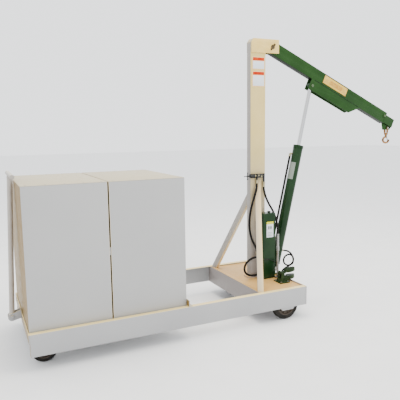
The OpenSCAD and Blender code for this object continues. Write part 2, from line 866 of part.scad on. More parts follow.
port_top = barrel_l - 50;
port_low = 230;
port_turn = 168;
feed_up = 140;

// Brass elbows on the barrel: at both ends of its side hose, and for the feed hose
module ram_ports() {
    color(brass) along_ram() {
        rotate([0, 0, port_turn]) for (end = [[port_top, -22], [port_low, 0]]) {
            translate([barrel_r + 9, 0, end[0]]) rotate([0, 90, 0])
                cylinder(r = 7, h = 17.6, center = true);
            translate([barrel_r + 17, 0, end[0] + end[1]]) cylinder(r = 9.5, h = 22);
        }
        translate([barrel_r + 7, 0, feed_up]) rotate([0, 90, 0]) cylinder(r = 7, h = 13.6, center = true);
    }
}

// ---------- oil tank, pump and valve ----------

module oil_tank() {
    low = deck_top + tank_foot;
    color(green) translate([tank_x, tank_y, 0]) difference() {
        union() {
            translate([-tank_l / 2, -tank_w / 2, low]) cube([tank_l, tank_w, tank_h]);
            translate([-tank_l / 2 + 6, -tank_w / 2 + 6, deck_top])
                cube([tank_l - 12, tank_w - 12, tank_foot + 1]);
        }
        translate([-tank_l / 2 + 3, -tank_w / 2 + 3, low + 3]) cube([tank_l - 6, tank_w - 6, tank_h - 6]);
    }
}

module tank_cap() {
    color(black) translate([tank_x + 20, tank_y, deck_top + tank_foot + tank_h]) {
        cylinder(r = 10, h = 4);
        translate([0, 0, 4]) cylinder(r = 13, h = 8);
    }
}

// A flat oval pad, pointed fore and aft
module oval_pad(t) {
    intersection() {
        translate([0, 24, 0]) cylinder(r = 54, h = t);
        translate([0, -24, 0]) cylinder(r = 54, h = t);
    }
}

// Foot pump: a base, the oil chamber with its lower pad, and two lugs for the treadle
module pump_body() {
    color(green) translate([treadle_x, pump_y, deck_top]) difference() {
        union() {
            block([-34, -45, 0], [46, 45, 8]);
            block([-20, -26, 8], [50, 26, 24]);
            translate([plunger_x, 0, 24]) cylinder(r = 18, h = 24);
            translate([20, 0, 16]) rotate([0, -5, 0]) translate([50, 0, 0]) oval_pad(24);
            both_sides() {
                side_plate([[-16, 10], [16, 10], [11, treadle_up], [-11, treadle_up]], 18, 8);
                translate([0, 22, treadle_up]) y_pin(11, 8);
            }
        }
        translate([0, 0, treadle_up]) y_pin(6 + run, 60);
        translate([plunger_x, 0, 12]) cylinder(r = 9 + run, h = 90);
    }
}

// Plunger that the treadle presses into the pump
module pump_plunger() {
    top = treadle_up + plunger_x * tan(treadle_tilt) - 8;
    color(chrome) translate([treadle_x + plunger_x, pump_y, deck_top])
        translate([0, 0, 12 + plunger_travel + 1]) cylinder(r = 9, h = top - 13 - plunger_travel);
}

// Treadle: a rocking arm with an oval foot pad, and its own pivot pin
module pump_treadle() {
    color(green) translate([treadle_x, pump_y, deck_top + treadle_up]) {
        y_pin(6, 54);
        rotate([0, -treadle_tilt, 0]) {
            y_pin(11, 32);
            block([0, -13, -6], [50, 13, 6]);
            translate([74, 0, -5]) oval_pad(19);
        }
    }
}

// Oil line from the pump: a foot, a standing pipe and the port block at its top
module pump_manifold() {
    reach_y = manifold_y - pump_y - 26;
    color(steel) translate([manifold_x, manifold_y, deck_top]) {
        block([-20, -18, 0], [16, 18, 8]);
        translate([0, 0, 8]) cylinder(r = 9, h = manifold_h - 38);
        translate([0, -reach_y / 2, 18]) y_pin(7, reach_y);
        translate([0, 0, manifold_h - 34]) cylinder(r = 13, h = 34, $fn = 6);
        translate([0, 0, manifold_h]) cylinder(r = 9.5, h = hose_end_l);
        translate([nipple_x, nipple_y, 8]) cylinder(r = 7, h = 20);
    }
}

// Control valve on the mast's side: spool housing, port block and right-hand elbow
module valve_body() {
    color(black) translate([valve_x, valve_y, valve_z]) {
        translate([-78, 0, 0]) rotate([0, 90, 0]) cylinder(r = 15, h = 38);
        block([-78, -4, -12], [-40, 15, 12]);
        block([-24, -13, -14], [27, 15, 14]);
        translate([-18, 0, -30]) cylinder(r = 7, h = 20);
        translate([42, 0, -47]) cylinder(r = 8, h = 62);
        block([36, -4, -10], [48, 15, 10]);
    }
}

// Nipples between the valve's parts, the hoses' ends on it, and the elbows on the tank
module valve_fittings() {
    left_face = tank_x - tank_l / 2;
    color(brass) {
        translate([valve_x, valve_y, valve_z]) {
            translate([-39.8, 0, 0]) rotate([0, 90, 0]) cylinder(r = 8, h = 15.6);
            translate([27.2, 0, 0]) rotate([0, 90, 0]) cylinder(r = 6, h = 6.6);
            translate([-18, 0, -56]) cylinder(r = 9.5, h = 25.8);
            translate([42, 0, -84]) cylinder(r = 9.5, h = 36.8);
        }
        for (z = [loop_low_z, loop_high_z])
            translate([left_face - 22, tank_y, z]) rotate([0, 90, 0]) cylinder(r = 9.5, h = 22);
        translate([left_face - elbow_out, tank_y + 12, elbow_z]) {
            rotate([0, 90, 0]) cylinder(r = 8, h = elbow_out);
            cylinder(r = 9.5, h = 26);
        }
    }
}

// Handle of the valve: a hub on the spool's end with a cross bar and a knob
module valve_lever() {
    color(black) translate([valve_x - 78, valve_y, valve_z]) {
        translate([-28.4, 0, 0]) rotate([0, 90, 0]) cylinder(r = 5, h = 28);
        translate([-21, 0, 0]) cylinder(r = 3.5, h = 46, center = true);
        for (z = [-23, 23]) translate([-21, 0, z]) sphere(r = 5);
        translate([-50, 0, 0]) rotate([0, 90, 0]) cylinder(r = 3, h = 24);
    }
}

// ---------- hoses ----------

// The ring of points round one place on a route, square to the route there
function ring(points, i, r, sides) =
    let (
        last = len(points) - 1,
        ahead = points[min(i + 1, last)] - points[max(i - 1, 0)],
        t = ahead / norm(ahead),
        seed = abs(t.y) < 0.9 ? [0, 1, 0] : [1, 0, 0],
        u = cross(t, seed) / norm(cross(t, seed)),
        v = cross(t, u)
    )
    [for (k = [0 : sides - 1]) points[i] + r * (cos(k * 360 / sides) * u + sin(k * 360 / sides) * v)];

// One closed tube swept along a route of points
module hose(points, r = hose_d / 2, sides = 8) {
    last = len(points) - 1;
    rings = [for (i = [0 : last]) each ring(points, i, r, sides)];
    walls = [
        for (i = [0 : last - 1], k = [0 : sides - 1])
            let (n = (k + 1) % sides)
                [i * sides + k, i * sides + n, (i + 1) * sides + n, (i + 1) * sides + k]
    ];
    caps = [[for (k = [sides - 1 : -1 : 0]) k], [for (k = [0 : sides - 1]) last * sides + k]];
    polyhedron(rings, concat(walls, caps));
}

module valve_left_hose() {
    color(black) translate([valve_x - 18, valve_y, valve_z - 56]) hose(valve_left_route);
}

module valve_right_hose() {
    color(black) translate([valve_x + 42, valve_y, valve_z - 84]) hose(valve_right_route);
}

module tank_loop_hose() {
    color(black) translate([tank_x - tank_l / 2 - 22, tank_y, loop_high_z]) hose(tank_loop_route);
}

module ram_side_hose() {
    color(black) along_ram() rotate([0, 0, port_turn]) translate([barrel_r + 17, 0, port_low + 22])
        hose([for (i = [0 : 6]) [0, 0, i * (port_top - port_low - 44) / 6]]);
}

module ram_feed_hose() {
    color(black) along_ram() translate([barrel_r + 13.8, 0, feed_up]) hose(ram_feed_route, feed_hose_d / 2);
}

// ---------- tow handle ----------

// Two lugs welded to the rear plate, and the bolt between them
module tow_bracket() {
    lug_y = handle_tube_r + 1;
    lug_t = 6;
    color(putty) translate([tow_x, 0, tow_z]) both_sides() difference() {
        union() {
            translate([0, lug_y + lug_t / 2, 0]) y_pin(tow_lug_r, lug_t);
            side_plate([[0, -tow_lug_r], [tow_back, 12 - tow_lug_r], [tow_back, 40], [0, tow_lug_r]],
                       lug_y, lug_t);
        }
        y_pin(tow_pin_r + run, base_w);
    }
    color(steel) translate([tow_x, 0, tow_z]) {
        y_pin(tow_pin_r, 2 * (lug_y + lug_t) + 8);
        both_sides() translate([0, lug_y + lug_t + 0.3 + 4, 0]) y_hex(24, 8);
    }
}

// Folded tow handle: a tube on the pivot bolt with a cross bar at its top
module tow_handle() {
    color(putty) translate([tow_x, 0, tow_z]) rotate([0, handle_lean, 0]) difference() {
        union() {
            y_pin(handle_tube_r + 3, 2 * handle_tube_r);
            cylinder(r = handle_tube_r, h = handle_h);
            translate([0, 0, handle_h]) y_pin(handle_bar_r, handle_bar_l);
        }
        y_pin(tow_pin_r + run, base_w);
    }
}

rail_right();
rail_left();
rear_cross_plate();
deck_cross_beam();
front_end_plate();
deck_plate();
weight_tray();
weight_cases();
weight_lids();
ballast_blocks();
weight_stop();
axle_brackets();
front_axles();
front_wheel_right();
front_wheel_left();
caster_top_plates();
caster_fork_right();
caster_fork_left();
caster_wheel_right();
caster_wheel_left();
mast_tube();
mast_foot_plate();
mast_braces();
head_cheeks();
head_cap();
boom_pin();
pin_keeper();
boom_tube();
ram_bracket_plates();
ram_pin_stubs();
clamp_bolt();
extension_tube();
tip_lug();
hook_pin();
hook_shackle();
hook();
hook_latch();
ram_foot_clevis();
ram_foot_pin();
ram_barrel();
ram_gland();
ram_rod();
ram_ports();
ram_side_hose();
ram_feed_hose();
oil_tank();
tank_cap();
pump_body();
pump_manifold();
pump_treadle();
pump_plunger();
valve_body();
valve_fittings();
valve_lever();
valve_left_hose();
valve_right_hose();
tank_loop_hose();
tow_bracket();
tow_handle();
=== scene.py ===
"""Looks of a counterbalanced hydraulic floor crane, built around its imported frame."""

from __future__ import annotations

import json
import logging
import math
from dataclasses import dataclass, field
from enum import Enum
from typing import Callable, Optional, Sequence

import bmesh
import bpy
from mathutils import Matrix, Vector

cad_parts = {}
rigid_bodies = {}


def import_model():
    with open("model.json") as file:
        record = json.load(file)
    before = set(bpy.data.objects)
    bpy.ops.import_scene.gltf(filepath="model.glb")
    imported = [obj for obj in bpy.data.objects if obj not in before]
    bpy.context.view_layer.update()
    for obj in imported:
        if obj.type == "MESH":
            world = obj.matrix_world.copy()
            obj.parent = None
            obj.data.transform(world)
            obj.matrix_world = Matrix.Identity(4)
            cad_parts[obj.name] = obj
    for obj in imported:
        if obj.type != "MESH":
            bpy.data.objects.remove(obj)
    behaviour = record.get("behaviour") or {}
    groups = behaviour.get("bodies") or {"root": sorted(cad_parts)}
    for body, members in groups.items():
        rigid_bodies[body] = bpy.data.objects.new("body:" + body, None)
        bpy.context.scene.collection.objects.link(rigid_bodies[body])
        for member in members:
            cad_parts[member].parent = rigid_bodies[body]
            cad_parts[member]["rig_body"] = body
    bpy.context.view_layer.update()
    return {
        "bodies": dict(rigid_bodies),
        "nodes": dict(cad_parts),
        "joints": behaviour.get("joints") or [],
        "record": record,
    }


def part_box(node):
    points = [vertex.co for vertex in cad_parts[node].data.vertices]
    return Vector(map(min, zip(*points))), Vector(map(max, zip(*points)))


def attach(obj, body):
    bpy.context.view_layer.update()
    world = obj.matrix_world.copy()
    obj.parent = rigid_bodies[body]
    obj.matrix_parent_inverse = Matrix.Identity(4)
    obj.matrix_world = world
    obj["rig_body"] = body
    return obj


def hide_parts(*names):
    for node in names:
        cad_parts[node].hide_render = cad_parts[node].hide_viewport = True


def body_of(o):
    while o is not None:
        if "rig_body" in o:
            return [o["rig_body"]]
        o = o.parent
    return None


LOG = logging.getLogger("crane")
RGB = tuple[float, float, float]
Point = tuple[float, float, float]
# Depth that a card or plate sinks into the face behind it, in metres.
SUNK = 0.0002


# ---------------------------------------------------------------- finishes


class Surface(Enum):
    """How light leaves a finish."""

    PAINT = "paint"
    METAL = "metal"
    RUBBER = "rubber"
    CARD = "card"


class Shade:
    """A material's node tree while it is being wired."""

    def __init__(self, name: str) -> None:
        """Starts an empty material.

        Args:
            name: the material's name.
        """
        self.material = bpy.data.materials.new(name)
        self.material.use_nodes = True
        self.tree = self.material.node_tree
        self.tree.nodes.clear()
        self.out = self.add("ShaderNodeOutputMaterial")
        self.skin = self.add("ShaderNodeBsdfPrincipled")
        self.link(self.skin.outputs["BSDF"], self.out.inputs["Surface"])
        self.coords = self.add("ShaderNodeTexCoord")

    def add(self, kind: str) -> bpy.types.Node:
        """Adds one node of a kind."""
        return self.tree.nodes.new(kind)

    def link(self, source: bpy.types.NodeSocket, target: bpy.types.NodeSocket) -> None:
        """Joins two sockets."""
        self.tree.links.new(source, target)

    def set(self, **values: float) -> None:
        """Sets constants on the shader's own sockets, with _ for a space in a socket's name."""
        for key, value in values.items():
            self.skin.inputs[key.replace("_", " ")].default_value = value

    def noise(self, scale: float, detail: float = 4, stretch: Point = (1, 1, 1)) -> bpy.types.NodeSocket:
        """Noise on Object coordinates.

        Args:
            scale: lumps per metre.
            detail: octaves.
            stretch: scale of the pattern along X, Y and Z.

        Returns:
            The socket that carries the noise's value.
        """
        place = self.add("ShaderNodeMapping")
        place.inputs["Scale"].default_value = stretch
        self.link(self.coords.outputs["Object"], place.inputs["Vector"])
        node = self.add("ShaderNodeTexNoise")
        node.inputs["Scale"].default_value = scale
        node.inputs["Detail"].default_value = detail
        self.link(place.outputs["Vector"], node.inputs["Vector"])
        return node.outputs["Fac"]

    def span(self, source: bpy.types.NodeSocket, low: float, high: float,
             start: float = 0.0, end: float = 1.0) -> bpy.types.NodeSocket:
        """Maps one range onto another, clamped.

        Args:
            source: socket that carries the value.
            low: value that becomes start.
            high: value that becomes end.
            start: result at low.
            end: result at high.

        Returns:
            The mapped value's socket.
        """
        node = self.add("ShaderNodeMapRange")
        for key, value in (("From Min", low), ("From Max", high), ("To Min", start), ("To Max", end)):
            node.inputs[key].default_value = value
        self.link(source, node.inputs["Value"])
        return node.outputs["Result"]

    def mix(self, amount: bpy.types.NodeSocket, low: object, high: object) -> bpy.types.NodeSocket:
        """Blends two colours.

        Args:
            amount: socket with 0 for low and 1 for high.
            low: a colour, or a socket that carries one.
            high: a colour, or a socket that carries one.

        Returns:
            The blended colour's socket.
        """
        node = self.add("ShaderNodeMix")
        node.data_type = "RGBA"
        self.link(amount, node.inputs[0])
        for slot, value in ((6, low), (7, high)):
            if isinstance(value, bpy.types.NodeSocket):
                self.link(value, node.inputs[slot])
            else:
                node.inputs[slot].default_value = (*value, 1.0)
        return node.outputs[2]

    def axis(self, output: str, index: int) -> bpy.types.NodeSocket:
        """Picks one component of the coordinates.

        Args:
            output: "Object" or "Normal".
            index: 0, 1 or 2 for X, Y or Z.

        Returns:
            The component's socket.
        """
        node = self.add("ShaderNodeSeparateXYZ")
        self.link(self.coords.outputs[output], node.inputs[0])
        return node.outputs[index]

    def relief(self, height: bpy.types.NodeSocket, depth: float, strength: float = 0.4) -> None:
        """Bumps the surface by a height field.

        Args:
            height: socket that carries the field.
            depth: depth of the bumps, in metres.
            strength: share of the bump that shows.
        """
        node = self.add("ShaderNodeBump")
        node.inputs["Distance"].default_value = depth
        node.inputs["Strength"].default_value = strength
        self.link(height, node.inputs["Height"])
        self.link(node.outputs["Normal"], self.skin.inputs["Normal"])


@dataclass(frozen=True)
class Finish:
    """One finish: its colours, gloss and relief, with painted light on faces that point up and painted shade on faces
    towards -X, on faces that point down and towards the bottom.
    """

    name: str
    slot: str
    surface: Surface
    colour: RGB
    second: Optional[RGB] = None
    # Painted light: a warmer colour for faces that point up.
    lit_top: Optional[RGB] = None
    # Painted shade: a darker colour for faces that point towards -X, away from the lamps.
    end: Optional[RGB] = None
    # Painted shade: a darker colour for faces that point down.
    shaded_under: Optional[RGB] = None
    # Painted shade: a colour that takes over towards the bottom, below the heights in the next field.
    low: Optional[RGB] = None
    shaded_low_z: tuple[float, float] = (0.4, 1.3)
    rough: float = 0.4
    blotch: float = 5.0
    grain: float = 700.0
    depth: float = 0.0002
    wear: float = 0.0
    shine: float = 0.3
    coat: float = 0.0

    def material(self) -> bpy.types.Material:
        """Builds the material once and returns it from then on."""
        return bpy.data.materials.get("crane_" + self.name) or self._build()

    def _build(self) -> bpy.types.Material:
        """Wires the node tree.

        Returns:
            The finished material.
        """
        shade = Shade("crane_" + self.name)
        second = self.second or tuple(min(1.0, c * 1.12) for c in self.colour)
        patches = shade.span(shade.noise(self.blotch), 0.35, 0.65)
        colour = shade.mix(patches, self.colour, second)
        # Painted shade: darker towards the bottom, by height.
        if self.low:
            height = shade.span(shade.axis("Object", 2), *self.shaded_low_z)
            colour = shade.mix(height, self.low, colour)
        # Painted shade on faces that point towards -X.
        if self.end:
            colour = shade.mix(shade.span(shade.axis("Normal", 0), -0.3, -0.9), colour, self.end)
        # Painted shade on faces that point down.
        if self.shaded_under:
            colour = shade.mix(shade.span(shade.axis("Normal", 2), -0.3, -0.75), colour, self.shaded_under)
        # Painted light on faces that point up.
        if self.lit_top:
            colour = shade.mix(shade.span(shade.axis("Normal", 2), 0.45, 0.85), colour, self.lit_top)
        if self.wear > 0:
            scuffs = shade.noise(38.0, 6, (1, 1, 0.35))
            marks = shade.span(scuffs, 0.66, 0.74, 0.0, self.wear)
            colour = shade.mix(marks, colour, tuple(0.45 * c + 0.03 for c in self.colour))
        shade.link(colour, shade.skin.inputs["Base Color"])
        rough = shade.span(shade.noise(24.0, 5), 0.3, 0.7, self.rough * 0.82, min(1.0, self.rough * 1.2))
        shade.link(rough, shade.skin.inputs["Roughness"])
        if self.surface is Surface.METAL:
            shade.set(Metallic=1.0)
        elif self.surface is Surface.PAINT:
            shade.set(Coat_Weight=self.coat, Coat_Roughness=0.15, Specular_IOR_Level=self.shine)
        else:
            shade.set(Specular_IOR_Level=0.5 * self.shine)
        shade.relief(shade.noise(self.grain, 3), self.depth)
        return shade.material


# In these finishes, the colour for faces that point up is painted light, and the colour for faces towards -X is
# painted shade.
GREY_PAINT = Finish("grey_paint", "putty_paint", Surface.PAINT, (0.34, 0.34, 0.345), (0.37, 0.37, 0.372),
                    lit_top=(0.80, 0.63, 0.28), end=(0.26, 0.19, 0.10), rough=0.42, blotch=2.2, wear=0.12)
DECK_PAINT = Finish("deck_paint", "putty_paint", Surface.PAINT, (0.31, 0.29, 0.31), (0.36, 0.34, 0.35),
                    lit_top=(0.54, 0.32, 0.10), end=(0.28, 0.25, 0.24), rough=0.45, blotch=7.0, wear=0.35)
CASE_PAINT = Finish("case_paint", "putty_paint", Surface.PAINT, (0.37, 0.37, 0.37), (0.395, 0.395, 0.39),
                    lit_top=(0.46, 0.40, 0.27), end=(0.22, 0.145, 0.050), rough=0.5, blotch=1.6, wear=0.06)
# The mast paint greys towards the bottom as painted shade.
MAST_PAINT = Finish("mast_paint", "putty_paint", Surface.PAINT, (0.60, 0.46, 0.16), (0.66, 0.51, 0.20),
                    end=(0.26, 0.24, 0.22), low=(0.34, 0.31, 0.29), rough=0.42, blotch=4.0, wear=0.10)
# The brace's cream is partly its paint and partly painted light from above: a lighter copy of the mast paint.
BRACE_PAINT = Finish("brace_paint", "putty_paint", Surface.PAINT, (0.70, 0.53, 0.26), (0.76, 0.60, 0.33),
                     end=(0.34, 0.33, 0.32), rough=0.42, blotch=5.0, wear=0.10)
HEAD_PAINT = Finish("head_paint", "putty_paint", Surface.PAINT, (0.74, 0.52, 0.14), (0.80, 0.58, 0.20),
                    end=(0.32, 0.29, 0.22), rough=0.40, blotch=9.0, wear=0.12)
# The green paint is darker on faces that point down, as painted shade.
GREEN_PAINT = Finish("green_paint", "green_paint", Surface.PAINT, (0.012, 0.042, 0.008), (0.019, 0.058, 0.012),
                     rough=0.42, blotch=6.0, wear=0.15, depth=0.00012, shine=0.10,
                     shaded_under=(0.002, 0.007, 0.002))
DARK_GREEN = Finish("dark_green_paint", "green_paint", Surface.PAINT, (0.006, 0.024, 0.007),
                    (0.010, 0.034, 0.010), rough=0.22, blotch=8.0, wear=0.12, depth=0.0001, shine=0.16)
PUMP_GREEN = Finish("pump_green_paint", "green_paint", Surface.PAINT, (0.008, 0.020, 0.006),
                    (0.024, 0.044, 0.014), rough=0.36, shine=0.12, blotch=28.0, wear=0.35, depth=0.0004, grain=260.0)
ZINC = Finish("zinc_plate", "steel", Surface.METAL, (0.26, 0.26, 0.25), (0.38, 0.37, 0.34), rough=0.36, blotch=60.0)
CHROME = Finish("hard_chrome", "chrome", Surface.METAL, (0.50, 0.50, 0.51), (0.56, 0.56, 0.57), rough=0.12,
                blotch=3.0, depth=0.00003)
BRONZE = Finish("yellow_passivate", "bronze_steel", Surface.METAL, (0.12, 0.060, 0.022), (0.34, 0.17, 0.06),
                rough=0.34, blotch=45.0)
BRASS = Finish("plated_fitting", "brass", Surface.METAL, (0.30, 0.26, 0.15), (0.44, 0.39, 0.25), rough=0.32,
               blotch=50.0)
PIN_STEEL = Finish("pin_steel", "steel", Surface.METAL, (0.060, 0.045, 0.028), (0.12, 0.09, 0.05), rough=0.5,
                   blotch=70.0)
PIN_GREEN = Finish("pin_green", "green_paint", Surface.PAINT, (0.050, 0.085, 0.040), (0.08, 0.12, 0.06), rough=0.4,
                   shine=0.2, blotch=50.0)
# The handle paint is lighter on faces that point up, as painted light.
HANDLE_PAINT = Finish("handle_paint", "putty_paint", Surface.PAINT, (0.36, 0.33, 0.30), (0.42, 0.39, 0.35),
                      lit_top=(0.52, 0.48, 0.42), rough=0.42, blotch=12.0, wear=0.3)
# Painted shade: a near-black for the gap between the weight cases. Painted highlight: a cream for the rounded edges
# beside the gap.
CASE_GAP_SHADE = Finish("case_gap", "putty_paint", Surface.CARD, (0.010, 0.007, 0.006), rough=0.9, shine=0.0)
CASE_EDGE_HIGHLIGHT = Finish("case_edge_highlight", "putty_paint", Surface.PAINT, (0.78, 0.62, 0.36), (0.84, 0.70, 0.46), rough=0.5)
BLACK_PAINT = Finish("black_paint", "black_paint", Surface.PAINT, (0.012, 0.012, 0.012), (0.020, 0.020, 0.020),
                     rough=0.35, blotch=30.0)
BLACK_PLASTIC = Finish("black_plastic", "black_plastic", Surface.RUBBER, (0.016, 0.016, 0.016), rough=0.5)
HOSE_RUBBER = Finish("hose_cover", "hose_rubber", Surface.RUBBER, (0.008, 0.008, 0.008), (0.012, 0.011, 0.010),
                     rough=0.5, blotch=40.0, grain=1500.0, shine=0.1)
TYRE_RUBBER = Finish("wheel_rubber", "wheel", Surface.RUBBER, (0.010, 0.009, 0.008), (0.018, 0.015, 0.012),
                     rough=0.55, blotch=20.0)
HUB_BROWN = Finish("wheel_core", "wheel", Surface.PAINT, (0.040, 0.028, 0.020), (0.055, 0.040, 0.028), rough=0.45,
                   blotch=18.0, wear=0.3)
BALLAST = Finish("cast_concrete", "ballast", Surface.CARD, (0.32, 0.31, 0.29), rough=0.9, grain=90.0, depth=0.001)
CARD_WHITE = Finish("label_white", "putty_paint", Surface.CARD, (0.66, 0.70, 0.74), (0.72, 0.76, 0.80), rough=0.4)
CARD_RED = Finish("label_red", "putty_paint", Surface.CARD, (0.42, 0.022, 0.004), (0.56, 0.060, 0.008),
                  rough=0.5, shine=0.1, blotch=40.0)
CARD_HALO = Finish("label_edge", "putty_paint", Surface.CARD, (0.84, 0.50, 0.26), rough=0.5)
CARD_CREAM = Finish("plate_cream", "green_paint", Surface.CARD, (0.62, 0.40, 0.07), (0.70, 0.48, 0.12),
                    rough=0.5, shine=0.1, blotch=30.0)
CARD_BORDER = Finish("plate_border", "green_paint", Surface.CARD, (0.10, 0.055, 0.015), rough=0.5, shine=0.1)
CARD_TAN = Finish("plate_panel", "green_paint", Surface.CARD, (0.46, 0.24, 0.04), (0.56, 0.33, 0.08),
                  rough=0.5, shine=0.1, blotch=60.0)
CARD_YELLOW = Finish("label_yellow", "green_paint", Surface.CARD, (0.62, 0.60, 0.03), rough=0.4)
CARD_GREY = Finish("sticker_grey", "green_paint", Surface.CARD, (0.17, 0.20, 0.17), (0.22, 0.25, 0.22), rough=0.4)
INK = Finish("label_ink", "green_paint", Surface.CARD, (0.004, 0.004, 0.005), rough=0.6, shine=0.0)


# ---------------------------------------------------------------- meshes


def put(name: str, mesh: bpy.types.Mesh, finish: Finish, body: str, sharp: float = 35.0) -> bpy.types.Object:
    """Makes a mesh a piece of the crane.

    Args:
        name: the piece's name.
        mesh: its mesh, in the row frame.
        finish: its finish.
        body: the body that it rides on.
        sharp: edges sharper than this many degrees stay crisp.

    Returns:
        The piece.
    """
    piece = bpy.data.objects.new(name, mesh)
    bpy.context.scene.collection.objects.link(piece)
    mesh.materials.clear()
    mesh.materials.append(finish.material())
    mesh.polygons.foreach_set("use_smooth", [True] * len(mesh.polygons))
    mesh.set_sharp_from_angle(angle=math.radians(sharp))
    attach(piece, body)
    return piece


def baked(piece: bpy.types.Object) -> bpy.types.Mesh:
    """Turns a scratch object into a plain mesh and removes it.

    Args:
        piece: the scratch object, with its modifiers.

    Returns:
        The mesh after the modifiers.
    """
    graph = bpy.context.evaluated_depsgraph_get()
    mesh = bpy.data.meshes.new_from_object(piece.evaluated_get(graph))
    source = piece.data
    bpy.data.objects.remove(piece)
    bpy.data.meshes.remove(source)
    return mesh


def scratch(mesh: bpy.types.Mesh) -> bpy.types.Object:
    """Makes an object that only carries a mesh through its modifiers.

    Args:
        mesh: the mesh.

    Returns:
        The object.
    """
    piece = bpy.data.objects.new("scratch", mesh)
    bpy.context.scene.collection.objects.link(piece)
    return piece


def from_bmesh(bm: bmesh.types.BMesh) -> bpy.types.Mesh:
    """Closes a bmesh into a mesh with its faces outwards.

    Args:
        bm: the bmesh; it is freed.

    Returns:
        The mesh.
    """
    bmesh.ops.remove_doubles(bm, verts=bm.verts, dist=1e-6)
    bmesh.ops.recalc_face_normals(bm, faces=bm.faces)
    mesh = bpy.data.meshes.new("part")
    bm.to_mesh(mesh)
    bm.free()
    return mesh


def bevelled(mesh: bpy.types.Mesh, width: float, segments: int = 2, limit: float = 35.0) -> bpy.types.Mesh:
    """Rounds a mesh's sharp edges.

    Args:
        mesh: the mesh; it is used up.
        width: width of the round, in metres.
        segments: steps in the round.
        limit: edges flatter than this many degrees are left.

    Returns:
        The rounded mesh.
    """
    piece = scratch(mesh)
    bevel = piece.modifiers.new("round", "BEVEL")
    bevel.width = width
    bevel.segments = segments
    bevel.limit_method = "ANGLE"
    bevel.angle_limit = math.radians(limit)
    return baked(piece)


def soften(node: str, finish: Finish, width: float = 0.0012, segments: int = 2) -> bpy.types.Object:
    """Stands a piece with rounded edges in for a CAD node.

    Args:
        node: the CAD node.
        finish: the piece's finish.
        width: width of the rounds, in metres.
        segments: steps in each round.

    Returns:
        The piece.
    """
    bm = bmesh.new()
    bm.from_mesh(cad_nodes()[node].data)
    bmesh.ops.remove_doubles(bm, verts=bm.verts, dist=2e-6)
    bmesh.ops.dissolve_limit(bm, angle_limit=math.radians(0.6), verts=bm.verts, edges=bm.edges)
    mesh = bpy.data.meshes.new(node)
    bm.to_mesh(mesh)
    bm.free()
    body = body_of(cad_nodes()[node])
    piece = put(node + "_finished", bevelled(mesh, width, segments), finish,
                body if isinstance(body, str) else body[0])
    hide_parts(node)
    return piece


_FRAME: dict = {}


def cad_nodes() -> dict[str, bpy.types.Object]:
    """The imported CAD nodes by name."""
    return _FRAME["nodes"]


def joint(name: str) -> dict:
    """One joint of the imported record."""
    return next(j for j in _FRAME["record"]["behaviour"]["joints"] if j["name"] == name)


def place(origin: Sequence[float], x: Sequence[float], y: Sequence[float], z: Sequence[float]) -> Matrix:
    """Builds a matrix from an origin and three axes.

    Args:
        origin: where the frame stands.
        x: its X axis.
        y: its Y axis.
        z: its Z axis.

    Returns:
        The matrix.
    """
    m = Matrix.Identity(4)
    for column, axis in enumerate((x, y, z, origin)):
        for row in range(3):
            m[row][column] = axis[row]
    return m


def lathe(profile: Sequence[tuple[float, float]], matrix: Matrix, sides: int = 48) -> bpy.types.Mesh:
    """A turned shape about the matrix's own Z.

    Args:
        profile: (radius, height) pairs; a radius of 0 closes an end.
        matrix: where the shape stands.
        sides: steps round.

    Returns:
        The mesh.
    """
    bm = bmesh.new()
    rings = []
    for r, h in profile:
        if r <= 0:
            rings.append([bm.verts.new(matrix @ Vector((0, 0, h)))])
        else:
            turn = [2 * math.pi * i / sides for i in range(sides)]
            rings.append([bm.verts.new(matrix @ Vector((r * math.cos(a), r * math.sin(a), h))) for a in turn])
    for a, b in zip(rings, rings[1:]):
        for i in range(sides):
            corners = [a[i % len(a)], a[(i + 1) % len(a)], b[(i + 1) % len(b)], b[i % len(b)]]
            unique = list(dict.fromkeys(corners))
            if len(unique) > 2:
                bm.faces.new(unique)
    if profile[0][0] > 0 and tuple(profile[0]) != tuple(profile[-1]):
        bm.faces.new(list(reversed(rings[0])))
        bm.faces.new(rings[-1])
    return from_bmesh(bm)


def slab(outline: Sequence[tuple[float, float]], low: float, high: float, matrix: Matrix,
         width: float = 0.0) -> bpy.types.Mesh:
    """Gives an outline a thickness.

    Args:
        outline: corners in the matrix's XY plane.
        low: lower end of the thickness, along the matrix's Z.
        high: upper end of the thickness.
        matrix: where the outline stands.
        width: width of the round on its edges, or 0 for none.

    Returns:
        The mesh.
    """
    bm = bmesh.new()
    ends = [[bm.verts.new(matrix @ Vector((x, y, z))) for x, y in outline] for z in (low, high)]
    bm.faces.new(list(reversed(ends[0])))
    bm.faces.new(ends[1])
    for i in range(len(outline)):
        j = (i + 1) % len(outline)
        bm.faces.new([ends[0][i], ends[0][j], ends[1][j], ends[1][i]])
    mesh = from_bmesh(bm)
    return bevelled(mesh, width) if width else mesh


def box(low: Point, high: Point, matrix: Matrix = Matrix.Identity(4), width: float = 0.001) -> bpy.types.Mesh:
    """A block with rounded edges."""
    return panel((low[0], high[0]), (low[1], high[1]), low[2], high[2], matrix, width)


def panel(across: tuple[float, float], up: tuple[float, float], low: float, high: float, matrix: Matrix,
          width: float = 0.0) -> bpy.types.Mesh:
    """Makes a rectangular plate.

    Args:
        across: its two ends along the matrix's X.
        up: its two ends along the matrix's Y.
        low: lower end of its thickness, along the matrix's Z.
        high: upper end of its thickness.
        matrix: where it stands.
        width: width of the round on its edges, or 0 for none.

    Returns:
        The mesh.
    """
    (a, b), (c, d) = across, up
    return slab([(a, c), (b, c), (b, d), (a, d)], low, high, matrix, width)


def oval(rx: float, ry: float, steps: int = 28) -> list[tuple[float, float]]:
    """The outline of an oval."""
    return [(rx * math.cos(2 * math.pi * i / steps), ry * math.sin(2 * math.pi * i / steps)) for i in range(steps)]


